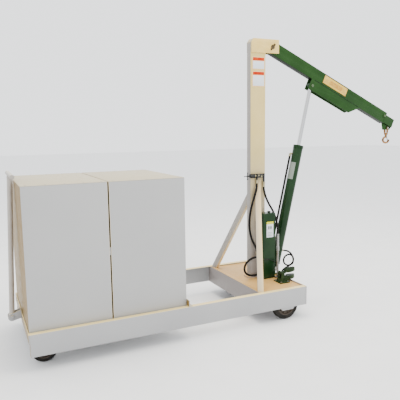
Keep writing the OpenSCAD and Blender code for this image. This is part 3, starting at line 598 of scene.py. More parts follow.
def smooth_path(points: Sequence[Vector], steps: int = 6) -> list[Vector]:
    """A smooth line through every point.

    Args:
        points: the points to go through.
        steps: new points for each span.

    Returns:
        The points of the smooth line.
    """
    ends = [2 * points[0] - points[1], *points, 2 * points[-1] - points[-2]]
    line = []
    for i in range(1, len(ends) - 2):
        a, b, c, d = ends[i - 1], ends[i], ends[i + 1], ends[i + 2]
        for s in range(steps):
            t = s / steps
            line.append(0.5 * (2 * b + (c - a) * t + (2 * a - 5 * b + 4 * c - d) * t ** 2
                               + (3 * b - 3 * c + d - a) * t ** 3))
    line.append(points[-1].copy())
    return line


def around(low: Point, high: Point, z: float) -> list[Vector]:
    """A closed rectangle round a box, at one height."""
    corners = [(low[0], low[1]), (high[0], low[1]), (high[0], high[1]), (low[0], high[1]), (low[0], low[1])]
    return [Vector((x, y, z)) for x, y in corners]


def joined(meshes: Sequence[bpy.types.Mesh]) -> bpy.types.Mesh:
    """Puts several meshes into one.

    Args:
        meshes: the meshes.

    Returns:
        The one mesh.
    """
    bm = bmesh.new()
    for mesh in meshes:
        bm.from_mesh(mesh)
    whole = bpy.data.meshes.new("part")
    bm.to_mesh(whole)
    bm.free()
    return whole


# ---------------------------------------------------------------- geometry nodes


class Repeater:
    """A Geometry Nodes tree that puts one small shape wherever its path or points say."""

    def __init__(self, name: str) -> None:
        """Starts a tree with its geometry and material sockets.

        Args:
            name: the tree's name.
        """
        self.tree = bpy.data.node_groups.new(name, "GeometryNodeTree")
        self.sockets: dict[str, str] = {}
        self.input("Geometry", "NodeSocketGeometry")
        self.input("Material", "NodeSocketMaterial")
        self.tree.interface.new_socket("Geometry", in_out="OUTPUT", socket_type="NodeSocketGeometry")
        self.source = self.tree.nodes.new("NodeGroupInput")
        self.sink = self.tree.nodes.new("NodeGroupOutput")

    def input(self, name: str, kind: str, default: Optional[float] = None) -> None:
        """Adds a named input.

        Args:
            name: its name.
            kind: its socket type.
            default: its value when none is given.
        """
        socket = self.tree.interface.new_socket(name, in_out="INPUT", socket_type=kind)
        if default is not None:
            socket.default_value = default
        self.sockets[name] = socket.identifier

    def add(self, kind: str, **values: object) -> bpy.types.Node:
        """Adds a node.

        Args:
            kind: the node's type.
            **values: a socket to link, or a constant, for each input, with _ for a space.

        Returns:
            The node.
        """
        node = self.tree.nodes.new(kind)
        for key, value in values.items():
            socket = node.inputs[key.replace("_", " ")]
            if isinstance(value, bpy.types.NodeSocket):
                self.tree.links.new(value, socket)
            else:
                socket.default_value = value
        return node

    def given(self, name: str) -> bpy.types.NodeSocket:
        """The output of one of the tree's own inputs."""
        return self.source.outputs[name]

    def wire(self, source: bpy.types.NodeSocket, target: bpy.types.NodeSocket) -> None:
        """Joins two sockets."""
        self.tree.links.new(source, target)

    def times(self, source: bpy.types.NodeSocket, factor: float) -> bpy.types.NodeSocket:
        """Multiplies a value by a constant.

        Args:
            source: socket that carries the value.
            factor: the constant.

        Returns:
            The product's socket.
        """
        node = self.add("ShaderNodeMath")
        node.operation = "MULTIPLY"
        node.inputs[1].default_value = factor
        self.wire(source, node.inputs[0])
        return node.outputs[0]

    def bar(self, sides: Sequence[str]) -> bpy.types.NodeSocket:
        """Adds a block.

        Args:
            sides: the tree's inputs that size it along X, Y and Z.

        Returns:
            The block's socket.
        """
        size = self.add("ShaderNodeCombineXYZ")
        for index, name in enumerate(sides):
            self.wire(self.given(name), size.inputs[index])
        return self.add("GeometryNodeMeshCube", Size=size.outputs[0]).outputs[0]

    def face(self, direction: bpy.types.NodeSocket, axis: str) -> bpy.types.NodeSocket:
        """Turns an axis to face a direction.

        Args:
            direction: socket that carries the direction.
            axis: "X", "Y" or "Z".

        Returns:
            The rotation's socket.
        """
        node = self.add("FunctionNodeAlignRotationToVector", Vector=direction)
        node.axis = axis
        return node.outputs[0]

    def scatter(self, shape: bpy.types.NodeSocket, turn: bpy.types.NodeSocket) -> None:
        """Ends the tree with one shape on each point.

        Args:
            shape: the shape's socket.
            turn: socket that carries its rotation.
        """
        spots = self.add("GeometryNodeInstanceOnPoints", Points=self.given("Geometry"), Instance=shape, Rotation=turn)
        self.close(spots.outputs[0])

    def close(self, instances: bpy.types.NodeSocket) -> None:
        """Ends the tree in real geometry with its material.

        Args:
            instances: socket that carries the instances.
        """
        real = self.add("GeometryNodeRealizeInstances", Geometry=instances)
        dressed = self.add("GeometryNodeSetMaterial", Geometry=real.outputs[0], Material=self.given("Material"))
        self.tree.links.new(dressed.outputs[0], self.sink.inputs[0])

    def run(self, base: bpy.types.Mesh, finish: Finish, **values: float) -> bpy.types.Mesh:
        """Runs the tree on a base mesh.

        Args:
            base: its path or points, used up.
            finish: the finish of what it makes.
            **values: the tree's inputs, with _ for a space.

        Returns:
            The mesh that it makes.
        """
        piece = scratch(base)
        modifier = piece.modifiers.new(self.tree.name, "NODES")
        modifier.node_group = self.tree
        modifier[self.sockets["Material"]] = finish.material()
        for key, value in values.items():
            modifier[self.sockets[key.replace("_", " ")]] = value
        return baked(piece)


def weld_tree() -> Repeater:
    """Lays overlapping beads of random size along a path, as a hand weld leaves them.

    Returns:
        The tree.
    """
    tree = Repeater("weld_bead")
    tree.input("Bead Radius", "NodeSocketFloat", 0.004)
    tree.input("Step", "NodeSocketFloat", 0.004)
    tree.input("Seed", "NodeSocketInt", 1)
    curve = tree.add("GeometryNodeMeshToCurve", Mesh=tree.given("Geometry"))
    line = tree.add("GeometryNodeResampleCurve", Curve=curve.outputs[0])
    line.mode = "LENGTH"
    tree.wire(tree.given("Step"), line.inputs["Length"])
    drop = tree.add("GeometryNodeMeshIcoSphere", Radius=tree.given("Bead Radius"), Subdivisions=2)
    size = tree.add("FunctionNodeRandomValue", Seed=tree.given("Seed"))
    size.data_type = "FLOAT"
    size.inputs[2].default_value = 0.8
    size.inputs[3].default_value = 1.12
    beads = tree.add("GeometryNodeInstanceOnPoints", Points=line.outputs[0], Instance=drop.outputs[0])
    tree.wire(size.outputs[1], beads.inputs["Scale"])
    tree.close(beads.outputs[0])
    return tree


def bolt_tree() -> Repeater:
    """Puts a hexagon head on a washer on each point, along the given direction.

    Returns:
        The tree.
    """
    tree = Repeater("hex_bolts")
    tree.input("Head Radius", "NodeSocketFloat", 0.008)
    tree.input("Head Height", "NodeSocketFloat", 0.006)
    tree.input("Direction", "NodeSocketVector")
    washer = tree.add("GeometryNodeMeshCylinder", Vertices=28, Depth=0.0018,
                      Radius=tree.times(tree.given("Head Radius"), 1.3))
    head = tree.add("GeometryNodeMeshCylinder", Vertices=6, Radius=tree.given("Head Radius"),
                    Depth=tree.given("Head Height"))
    lift = tree.add("ShaderNodeCombineXYZ", Z=tree.times(tree.given("Head Height"), 0.5))
    raised = tree.add("GeometryNodeTransform", Geometry=head.outputs[0], Translation=lift.outputs[0])
    both = tree.add("GeometryNodeJoinGeometry")
    tree.wire(washer.outputs[0], both.inputs[0])
    tree.wire(raised.outputs[0], both.inputs[0])
    tree.scatter(both.outputs[0], tree.face(tree.given("Direction"), "Z"))
    return tree


def rib_tree() -> Repeater:
    """Puts a bar on each point, turned by the given rotation about X, Y and Z.

    Returns:
        The tree.
    """
    tree = Repeater("ribs")
    tree.input("Length", "NodeSocketFloat", 0.04)
    tree.input("Width", "NodeSocketFloat", 0.004)
    tree.input("Height", "NodeSocketFloat", 0.003)
    tree.input("Turn", "NodeSocketVector")
    turn = tree.add("FunctionNodeEulerToRotation")
    tree.wire(tree.given("Turn"), turn.inputs[0])
    tree.scatter(tree.bar(("Width", "Length", "Height")), turn.outputs[0])
    return tree


def spoke_tree() -> Repeater:
    """Puts radial ribs about Z on a ring's points, as on a moulded wheel or a knurled cap.

    Returns:
        The tree.
    """
    tree = Repeater("spokes")
    tree.input("Length", "NodeSocketFloat", 0.03)
    tree.input("Width", "NodeSocketFloat", 0.004)
    tree.input("Height", "NodeSocketFloat", 0.012)
    here = tree.add("GeometryNodeInputPosition")
    flat = tree.add("ShaderNodeVectorMath")
    flat.operation = "MULTIPLY"
    flat.inputs[1].default_value = (1, 1, 0)
    tree.wire(here.outputs[0], flat.inputs[0])
    tree.scatter(tree.bar(("Length", "Width", "Height")), tree.face(flat.outputs[0], "X"))
    return tree


class Toolbox:
    """The four repeating trees, built once."""

    def __init__(self) -> None:
        """Builds the trees."""
        self.welds = weld_tree()
        self.bolts = bolt_tree()
        self.ribs = rib_tree()
        self.spokes = spoke_tree()
        self.seed = 0

    def weld(self, name: str, lines: Sequence[Sequence[Vector]], finish: Finish, body: str,
             radius: float = 0.0035) -> bpy.types.Object:
        """Lays weld beads along lines.

        Args:
            name: the piece's name.
            lines: one list of corner points for each run.
            finish: the paint over the weld.
            body: the body that it rides on.
            radius: radius of a bead.

        Returns:
            The piece.
        """
        self.seed += 1
        base = bpy.data.meshes.new("weld_path")
        points, edges = [], []
        for line in lines:
            edges += [(len(points) + i, len(points) + i + 1) for i in range(len(line) - 1)]
            points += [tuple(p) for p in line]
        base.from_pydata(points, edges, [])
        mesh = self.welds.run(base, finish, Bead_Radius=radius, Step=radius * 0.95, Seed=self.seed)
        return put(name, mesh, finish, body, 80)

    def bolt(self, name: str, points: Sequence[Point], direction: Point, finish: Finish, body: str,
             radius: float = 0.008, height: float = 0.006) -> bpy.types.Object:
        """Sets hexagon heads on points.

        Args:
            name: the piece's name.
            points: where the heads sit.
            direction: the way that they face.
            finish: their finish.
            body: the body that they ride on.
            radius: radius of a head.
            height: height of a head.

        Returns:
            The piece.
        """
        base = bpy.data.meshes.new("bolt_points")
        base.from_pydata([tuple(p) for p in points], [], [])
        mesh = self.bolts.run(base, finish, Head_Radius=radius, Head_Height=height, Direction=direction)
        return put(name, mesh, finish, body, 30)

    def rib(self, points: Sequence[Point], finish: Finish, length: float, width: float, height: float,
            turn: Point = (0.0, 0.0, 0.0)) -> bpy.types.Mesh:
        """Lays bars on points.

        Args:
            points: the middle of each bar.
            finish: their finish.
            length: length of a bar along Y.
            width: width of a bar along X.
            height: height of a bar along Z.
            turn: rotation of every bar about X, Y and Z.

        Returns:
            The mesh.
        """
        base = bpy.data.meshes.new("rib_points")
        base.from_pydata([tuple(p) for p in points], [], [])
        return self.ribs.run(base, finish, Length=length, Width=width, Height=height, Turn=turn)

    def spoke(self, radius: float, count: int, z: float, finish: Finish, length: float, width: float,
              height: float, matrix: Matrix) -> bpy.types.Mesh:
        """Stands radial ribs in a ring about the matrix's own Z.

        Args:
            radius: radius of the ring.
            count: number of ribs.
            z: height of the ring.
            finish: their finish.
            length: length of a rib along the radius.
            width: width of a rib round the ring.
            height: height of a rib along Z.
            matrix: where the ring stands.

        Returns:
            The mesh.
        """
        base = bpy.data.meshes.new("ring_points")
        turns = [2 * math.pi * i / count for i in range(count)]
        base.from_pydata([(radius * math.cos(a), radius * math.sin(a), z) for a in turns], [], [])
        mesh = self.spokes.run(base, finish, Length=length, Width=width, Height=height)
        mesh.transform(matrix)
        return mesh


# ---------------------------------------------------------------- sub-assemblies


@dataclass
class Studio:
    """Camera, lights and floor."""

    lens: float = 43.974
    yaw: float = 25.149
    pitch: float = -7.919
    roll: float = -0.7707
    back_from_side: float = 2.7155
    behind_rear: float = 0.2242
    eye_height: float = 1.3186
    world_strength: float = 2.2

    def camera(self) -> None:
        """Stands the camera at the viewing angle."""
        low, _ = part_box("rear_cross_plate")
        data = bpy.data.cameras.new("camera")
        data.lens = self.lens
        data.sensor_width = 36.0
        data.clip_end = 100.0
        eye = bpy.data.objects.new("camera", data)
        bpy.context.scene.collection.objects.link(eye)
        yaw, pitch, roll = (math.radians(v) for v in (self.yaw, self.pitch, self.roll))
        ahead = Vector((math.sin(yaw) * math.cos(pitch), math.cos(yaw) * math.cos(pitch), math.sin(pitch)))
        right = Vector((math.cos(yaw), -math.sin(yaw), 0))
        up = right.cross(ahead)
        right_rolled = right * math.cos(roll) + up * math.sin(roll)
        up_rolled = up * math.cos(roll) - right * math.sin(roll)
        origin = (low[0] - self.behind_rear, low[1] - self.back_from_side, self.eye_height)
        eye.matrix_world = place(origin, right_rolled, up_rolled, -ahead)
        bpy.context.scene.camera = eye

    def lamp(self, name: str, at: Point, aim: Point, size: float, power: float, tint: RGB) -> None:
        """Hangs one soft square light.

        Args:
            name: its name.
            at: where it hangs.
            aim: the point that it faces.
            size: length of its side.
            power: watts.
            tint: its colour.
        """
        data = bpy.data.lights.new(name, "AREA")
        data.size = size
        data.energy = power
        data.color = tint
        lamp = bpy.data.objects.new(name, data)
        lamp.location = at
        lamp.rotation_euler = (Vector(aim) - Vector(at)).to_track_quat("-Z", "Y").to_euler()
        bpy.context.scene.collection.objects.link(lamp)

    def build(self) -> None:
        """Builds the floor, the sky and the lamps."""
        world = bpy.data.worlds.new("studio")
        world.use_nodes = True
        sky = world.node_tree.nodes["Background"]
        sky.inputs[0].default_value = (0.96, 0.98, 1.0, 1)
        sky.inputs[1].default_value = self.world_strength
        bpy.context.scene.world = world
        self.lamp("key", (2.2, -2.6, 5.2), (0.2, 0, 0.9), 1.6, 130, (1.0, 0.96, 0.86))
        self.lamp("overhead", (-0.4, 0.2, 5.4), (0, 0, 0.4), 2.4, 190, (1.0, 0.93, 0.80))
        floor = Finish("studio_floor", "putty_paint", Surface.CARD, (0.86, 0.86, 0.86), (0.88, 0.88, 0.88),
                       rough=0.9, depth=0.00005)
        bm = bmesh.new()
        bmesh.ops.create_grid(bm, x_segments=8, y_segments=8, size=30)
        mesh = bpy.data.meshes.new("floor")
        bm.to_mesh(mesh)
        bm.free()
        plane = bpy.data.objects.new("floor", mesh)
        mesh.materials.append(floor.material())
        bpy.context.scene.collection.objects.link(plane)


@dataclass
class Hose:
    """One hose: its route in some frame, its size, and the kind of its far end, its stiffness and its lay."""

    name: str
    node: str
    body: str
    origin: Matrix
    route: Sequence[Point]
    diameter: float
    far_end: str = "object"
    stiffness: str = "medium"
    lay: str = "loose"

    def build(self) -> None:
        """Lays the hose along its route."""
        points = smooth_path([self.origin @ (Vector(p) / 1000) for p in self.route])
        data = bpy.data.curves.new(self.name, "CURVE")
        data.dimensions = "3D"
        data.bevel_depth = self.diameter / 2
        data.bevel_resolution = 5
        data.use_fill_caps = True
        spline = data.splines.new("POLY")
        spline.points.add(len(points) - 1)
        for slot, point in zip(spline.points, points):
            slot.co = (*point, 1)
        data.materials.append(HOSE_RUBBER.material())
        hose = bpy.data.objects.new(self.name, data)
        bpy.context.scene.collection.objects.link(hose)
        spline.use_smooth = True
        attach(hose, self.body)
        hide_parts(self.node)


@dataclass
class Hydraulics:
    """Hoses, tank, pump and control valve."""

    tools: Toolbox
    label_x: tuple[float, float] = (0.2312, 0.2898)
    label_z: tuple[float, float] = (0.5345, 0.6520)
    hose_d: float = 0.016
    feed_d: float = 0.013
    side_length: float = 621.0
    loop_z: float = 0.384
    barrel_r: float = 0.0375
    valve_offset: float = 0.099
    treadle_tilt: float = 8.0

    def hoses(self) -> None:
        """Lays the five hoses on the frame's own routes, in millimetres from each one's start."""
        tank_low, tank_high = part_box("oil_tank")
        tank_y = (tank_low[1] + tank_high[1]) / 2
        valve = Vector(joint("valve_turn")["pos_m"]) + Vector((self.valve_offset, 0, 0))
        foot = Vector(joint("ram_tilt")["pos_m"])
        up = Vector(joint("ram_extend")["axis"]).normalized()
        ram = place(foot, (up.z, 0, -up.x), (0, 1, 0), up)
        left = [(0, 0, 0), (0, 0, -5), (-2, -2, -13), (-7, -9, -27), (-17.5, -20, -47), (-29, -25.5, -72),
                (-40.5, -25, -105), (-51.5, -19, -150), (-59.5, -10, -200), (-64.5, -4, -255), (-65, -1, -310),
                (-60, -1, -360), (-49, -3, -405), (-37, -8, -440), (-23, -15, -472), (-13.5, -20, -494),
                (-11, -21.5, -506), (-11, -21.5, -512)]
        right = [(0, 0, 0), (0, 0, -6), (2, -1, -26), (9, -4, -58), (21, -10, -97), (40, -16, -137),
                 (63, -22, -178), (74, -40, -220), (79, -56, -263), (82, -66, -305), (82.5, -70, -348),
                 (82.5, -70, -355)]
        loop = [(0, 0, 0), (-28, 0, 0), (-55, 0, -6), (-82, 0, -19), (-103, 0, -38), (-115, 0, -61),
                (-117, 0, -86), (-107, 0, -109), (-88, 0, -125), (-60, 0, -135), (-30, 0, -137), (0, 0, -137)]
        feed = [(0, 0, 0), (6, 0, 0), (16, -1.5, 0.5), (28, -8, 1.5), (38.5, -20, 0), (47.5, -36, -7),
                (54, -53, -20.5), (57.5, -68, -39), (55.5, -80, -57), (47, -91, -72.5), (32, -101, -83),
                (-11, -118, -92), (-34, -126, -90), (-56.5, -134, -82.5), (-75, -141, -69.5),
                (-86.5, -147, -50.5), (-87, -153, -29), (-77, -159, -11.5), (-59.5, -164, -2.5),
                (-40.5, -169, -5), (-26.5, -173, -17.5), (-20, -176, -35.5), (-23, -178, -54.5),
                (-34.5, -179, -71.5), (-52, -180, -84.5), (-92, -182, -111.5), (-106, -183, -131),
                (-112, -184, -152), (-111.5, -184, -164), (-110, -184, -170)]
        turn = Matrix.Rotation(math.radians(168), 4, "Z")
        side = ram @ turn @ Matrix.Translation((self.barrel_r + 0.017, 0, 0.252))
        hoses = [
            Hose("valve_hose_left", "valve_left_hose", "base",
                 Matrix.Translation(valve + Vector((-0.018, 0, -0.056))), left, self.hose_d, lay="hanging"),
            Hose("valve_hose_right", "valve_right_hose", "base",
                 Matrix.Translation(valve + Vector((0.042, 0, -0.084))), right, self.hose_d, lay="hanging"),
            Hose("tank_hose_loop", "tank_loop_hose", "base",
                 Matrix.Translation((tank_low[0] - 0.022, tank_y, self.loop_z)), loop, self.hose_d),
            Hose("ram_hose_side", "ram_side_hose", "ram_barrel", side,
                 [(0, 0, i * self.side_length / 6) for i in range(7)], self.hose_d, stiffness="stiff", lay="taut"),
            Hose("ram_hose_feed", "ram_feed_hose", "ram_barrel",
                 ram @ Matrix.Translation((self.barrel_r + 0.0138, 0, 0.140)), feed, self.feed_d),
        ]
        for hose in hoses:
            hose.build()

    def tank(self) -> None:
        """Rounds the tank, and gives it its seams, label, line and cap."""
        soften("oil_tank", DARK_GREEN, 0.006, 4)
        low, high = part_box("oil_tank")
        near = Matrix.Rotation(math.radians(90), 4, "X")
        face = low[1]
        x0, x1 = self.label_x
        z0, z1 = self.label_z

        def card(name: str, a: float, b: float, c: float, d: float, out: float, finish: Finish) -> None:
            """Sticks one flat card, between x a..b and z c..d and out thick, on the near face."""
            put(name, panel((a, b), (c, d), -face - SUNK, -face + out, near, 0.0002), finish, "base")

        card("tank_label", x0, x1, z0, z1, 0.0006, CARD_WHITE)
        card("tank_label_band", x0, x1, z1 - 0.018, z1, 0.0010, CARD_YELLOW)
        middle = (x0 + x1) / 2
        for side, x in (("left", middle - 0.010), ("right", middle + 0.008)):
            mark = [(x + px, (z0 + z1) / 2 + 0.014 + pz) for px, pz in oval(0.0055, 0.014)]
            put("tank_label_mark_" + side, slab(mark, -face - SUNK, -face + 0.0010, near), INK, "base")
        for index in range(3):
            z = z0 + 0.012 + 0.011 * index
            card(f"tank_label_rule_{index}", x0 + 0.010, x1 - 0.012, z, z + 0.003, 0.0010, CARD_GREY)
        seam = [Vector((low[0] + 0.004, face + 0.001, high[2] - 0.012)),
                Vector((high[0] - 0.004, face + 0.001, high[2] - 0.012))]
        foot = [Vector((low[0] + 0.004, face + 0.001, low[2] + 0.020)),
                Vector((high[0] - 0.004, face + 0.001, low[2] + 0.020))]
        self.tools.weld("tank_seams", [seam, foot], DARK_GREEN, "base", 0.0016)
        pipe = [Vector((low[0] + 0.002, face - 0.003, 0.3722)), Vector((low[0] + 0.05, face - 0.0032, 0.366)),
                Vector((high[0] - 0.01, face - 0.0032, 0.347)), Vector((high[0] + 0.014, face + 0.002, 0.340))]
        put("tank_gauge_line", swept(smooth_path(pipe), 0.0022), BLACK_PLASTIC, "base")
        cap_low, cap_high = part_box("tank_cap")
        middle_cap = Matrix.Translation(((cap_low[0] + cap_high[0]) / 2, (cap_low[1] + cap_high[1]) / 2,
                                         cap_low[2]))
        cap = lathe([(0, 0), (0.0098, 0), (0.0098, 0.0035), (0.0118, 0.0042), (0.0118, 0.0108), (0.0100, 0.0119),
                     (0, 0.0119)], middle_cap, 40)
        knurl = self.tools.spoke(0.0120, 24, 0.0075, BLACK_PLASTIC, 0.0018, 0.0014, 0.0062, middle_cap)
        piece = put("tank_filler_cap", joined([cap, knurl]), BLACK_PLASTIC, "base")
        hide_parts("tank_cap")

    def pump(self) -> None:
        """Dresses the foot pump and its treadle."""
        soften("pump_body", PUMP_GREEN, 0.003, 3)
        soften("pump_treadle", PUMP_GREEN, 0.003, 3)
        soften("pump_manifold", ZINC, 0.0008)
        soften("pump_plunger", CHROME, 0.0008)
        pivot = Vector(joint("treadle_press")["pos_m"])
        tilt = Matrix.Rotation(math.radians(-self.treadle_tilt), 4, "Y")
        points = [(0.036 + 0.0125 * i, 0, 0.0150) for i in range(7)]
        meshes = []
        for x, y, z in points:
            half = math.sqrt(max(0.054 ** 2 - (x - 0.074) ** 2, 0.0)) - 0.024
            if half > 0.004:
                meshes.append(self.tools.rib([(x, y, z)], PUMP_GREEN, 2 * half - 0.004, 0.0042, 0.004))
        treads = joined(meshes)
        treads.transform(Matrix.Translation(pivot) @ tilt)
        put("treadle_treads", treads, PUMP_GREEN, "treadle")
        low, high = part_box("pump_body")
        base_z = low[2] + 0.008
        corners = [(low[0] + 0.010, y, base_z) for y in (low[1] + 0.010, high[1] - 0.010)]
        corners += [(low[0] + 0.070, y, base_z) for y in (low[1] + 0.010, high[1] - 0.010)]
        self.tools.bolt("pump_base_bolts", corners, (0, 0, 1), ZINC, "base", 0.006, 0.005)
        foot_low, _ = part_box("pump_manifold")
        middle_y = -0.111
        spots = [(foot_low[0] + 0.006, middle_y - 0.011, foot_low[2] + 0.008),
                 (foot_low[0] + 0.006, middle_y + 0.011, foot_low[2] + 0.008)]
        self.tools.bolt("manifold_bolts", spots, (0, 0, 1), ZINC, "base", 0.004, 0.0035)

    def valve(self) -> None:
        """Dresses the control valve, its fittings and its handle."""
        soften("valve_body", BLACK_PAINT, 0.0015)
        soften("valve_fittings", BRASS, 0.0012)
        soften("valve_lever", BLACK_PAINT, 0.0008)
        centre = Vector(joint("valve_turn")["pos_m"]) + Vector((self.valve_offset, 0, 0))
        plugs = [(centre.x - 0.010, centre.y - 0.013, centre.z + 0.004),
                 (centre.x + 0.014, centre.y - 0.013, centre.z - 0.004)]
        self.tools.bolt("valve_plugs", plugs, (0, -1, 0), BRASS, "base", 0.005, 0.004)
        along = Matrix.Translation(centre) @ Matrix.Rotation(math.radians(90), 4, "Y")
        ridges = [self.tools.spoke(0.0152, 20, z, BLACK_PAINT, 0.0014, 0.0018, 0.016, along)
                  for z in (-0.066, -0.048)]
        put("valve_housing_ridges", joined(ridges), BLACK_PAINT, "base")

    def build(self) -> None:
        """Builds everything but the hoses, which come first."""
        self.tank()
        self.pump()
        self.valve()


def swept(points: Sequence[Vector], radius: float, sides: int = 12) -> bpy.types.Mesh:
    """Sweeps a closed round bar along a line.

    Args:
        points: the line's points.
        radius: radius of the bar.
        sides: facets round the bar.

    Returns:
        The mesh.
    """
    bm = bmesh.new()
    rings = []
    for i, point in enumerate(points):
        ahead = (points[min(i + 1, len(points) - 1)] - points[max(i - 1, 0)]).normalized()
        side = ahead.cross(Vector((0, 0, 1)) if abs(ahead.z) < 0.9 else Vector((1, 0, 0))).normalized()
        up = side.cross(ahead)
        turn = [2 * math.pi * k / sides for k in range(sides)]
        rings.append([bm.verts.new(point + radius * (math.cos(a) * side + math.sin(a) * up)) for a in turn])
    for a, b in zip(rings, rings[1:]):
        for k in range(sides):
            bm.faces.new([a[k], a[(k + 1) % sides], b[(k + 1) % sides], b[k]])
    bm.faces.new(list(reversed(rings[0])))
    bm.faces.new(rings[-1])
    return from_bmesh(bm)


@dataclass
class Base:
    """Rails, deck, counterweights and what is welded to them."""

    tools: Toolbox
    plates: dict[str, Finish] = field(default_factory=lambda: {
        "rail_right": GREY_PAINT, "rail_left": GREY_PAINT, "rear_cross_plate": GREY_PAINT,
        "deck_cross_beam": DECK_PAINT, "front_end_plate": DECK_PAINT, "deck_plate": DECK_PAINT,
        "weight_tray": GREY_PAINT, "weight_cases": CASE_PAINT, "weight_lids": CASE_PAINT,
        "weight_stop": CASE_PAINT, "mast_foot_plate": DECK_PAINT,
    })

    def build(self) -> None:
        """Rounds the plates and adds welds, spacers and lid screws."""
        for node, finish in self.plates.items():
            soften(node, finish, 0.0016)
        self.welds()
        self.cases()

    def welds(self) -> None:
        """Welds the deck to the rails and the mast's foot to the deck."""
        low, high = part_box("mast_foot_plate")
        self.tools.weld("mast_foot_welds", [around(low, high, low[2] + 0.001)], DECK_PAINT, "base", 0.0035)
        deck_low, deck_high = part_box("deck_plate")
        z = deck_high[2] + 0.0005
        rails = [[Vector((deck_low[0] + 0.01, y, z)), Vector((deck_high[0] - 0.01, y, z))]
                 for y in (deck_low[1] + 0.002, deck_high[1] - 0.002)]
        self.tools.weld("deck_side_welds", rails, DECK_PAINT, "base", 0.003)

    def cases(self) -> None:
        """Paints shade into the gap between the cases and a highlight on the edges beside it, and adds the spacers
        between the cases and the screws on their lids.
        """
        low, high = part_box("weight_cases")
        middle = (low[0] + high[0]) / 2
        piece = bpy.data.objects["weight_cases_finished"]
        for finish in (CASE_GAP_SHADE, CASE_EDGE_HIGHLIGHT):
            piece.data.materials.append(finish.material())
        # Faces in the gap get the painted shade, and the rounded edges beside it the painted highlight.
        for face in piece.data.polygons:
            off = abs(face.center.x - middle)
            if off < 0.0042:
                face.material_index = 1
            elif off < 0.007:
                face.material_index = 2
        for name, y in (("near", low[1] + 0.004), ("far", high[1] - 0.020)):
            mesh = box((middle - 0.0035, y, 0.610), (middle + 0.0035, y + 0.016, 0.656), width=0.0008)
            put("case_spacer_" + name, mesh, CASE_PAINT, "base")
        lid_low, lid_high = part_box("weight_lids")
        length = middle - 0.004 - lid_low[0]
        for name, x in (("rear", lid_low[0]), ("front", lid_high[0] - length)):
            points = [(x + length * (0.06 + 0.22 * i), y, lid_high[2] - 0.0006)
                      for i in range(5) for y in (lid_low[1] + 0.02, lid_high[1] - 0.02)]
            self.tools.bolt("lid_screws_" + name, points, (0, 0, 1), ZINC, "base", 0.0035, 0.0022)


@dataclass
class Mast:
    """Mast, its head and braces, and the two labels."""

    tools: Toolbox
    label_x: tuple[float, float] = (0.1640, 0.2585)
    upper: tuple[float, float, float] = (1.7664, 1.8236, 1.8455)
    lower: tuple[float, float, float] = (1.6455, 1.7231, 1.7442)

    def build(self) -> None:
        """Rounds the mast's parts and adds welds and labels."""
        soften("mast_tube", MAST_PAINT, 0.006, 4)
        soften("mast_braces", BRACE_PAINT, 0.003, 3)
        soften("head_cheeks", HEAD_PAINT, 0.0015)
        soften("head_cap", HEAD_PAINT, 0.0015)
        soften("boom_pin", PIN_STEEL, 0.0015)
        soften("pin_keeper", PIN_STEEL, 0.0008)
        self.labels()
        low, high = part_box("mast_tube")
        cheek_low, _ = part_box("head_cheeks")
        runs = [[Vector((low[0] + 0.008, y, cheek_low[2])), Vector((high[0] - 0.008, y, cheek_low[2]))]
                for y in (low[1] - 0.001, high[1] + 0.001)]
        self.tools.weld("head_welds", runs, HEAD_PAINT, "base", 0.0022)
        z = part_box("mast_foot_plate")[1][2] + 0.001
        self.tools.weld("mast_base_weld", [around(low, high, z)], MAST_PAINT, "base", 0.0035)

    def labels(self) -> None:
        """Sticks two plain banded labels on the near face."""
        low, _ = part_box("mast_tube")
        near = Matrix.Rotation(math.radians(90), 4, "X")
        x0, x1 = self.label_x
        for name, (z0, split, z1) in (("upper", self.upper), ("lower", self.lower)):
            parts = (("edge", x0 - 0.004, x1 + 0.004, z0 - 0.004, z1 + 0.004, 0.0004, CARD_HALO),
                     ("body", x0, x1, z0, split - 0.004, 0.0008, CARD_WHITE),
                     ("band", x0, x1, split, z1, 0.0009, CARD_RED))
            for part, a, b, c, d, out, finish in parts:
                mesh = panel((a, b), (c, d), -low[1] - SUNK, -low[1] + out, near, 0.0001)
                put(f"mast_label_{name}_{part}", mesh, finish, "base")


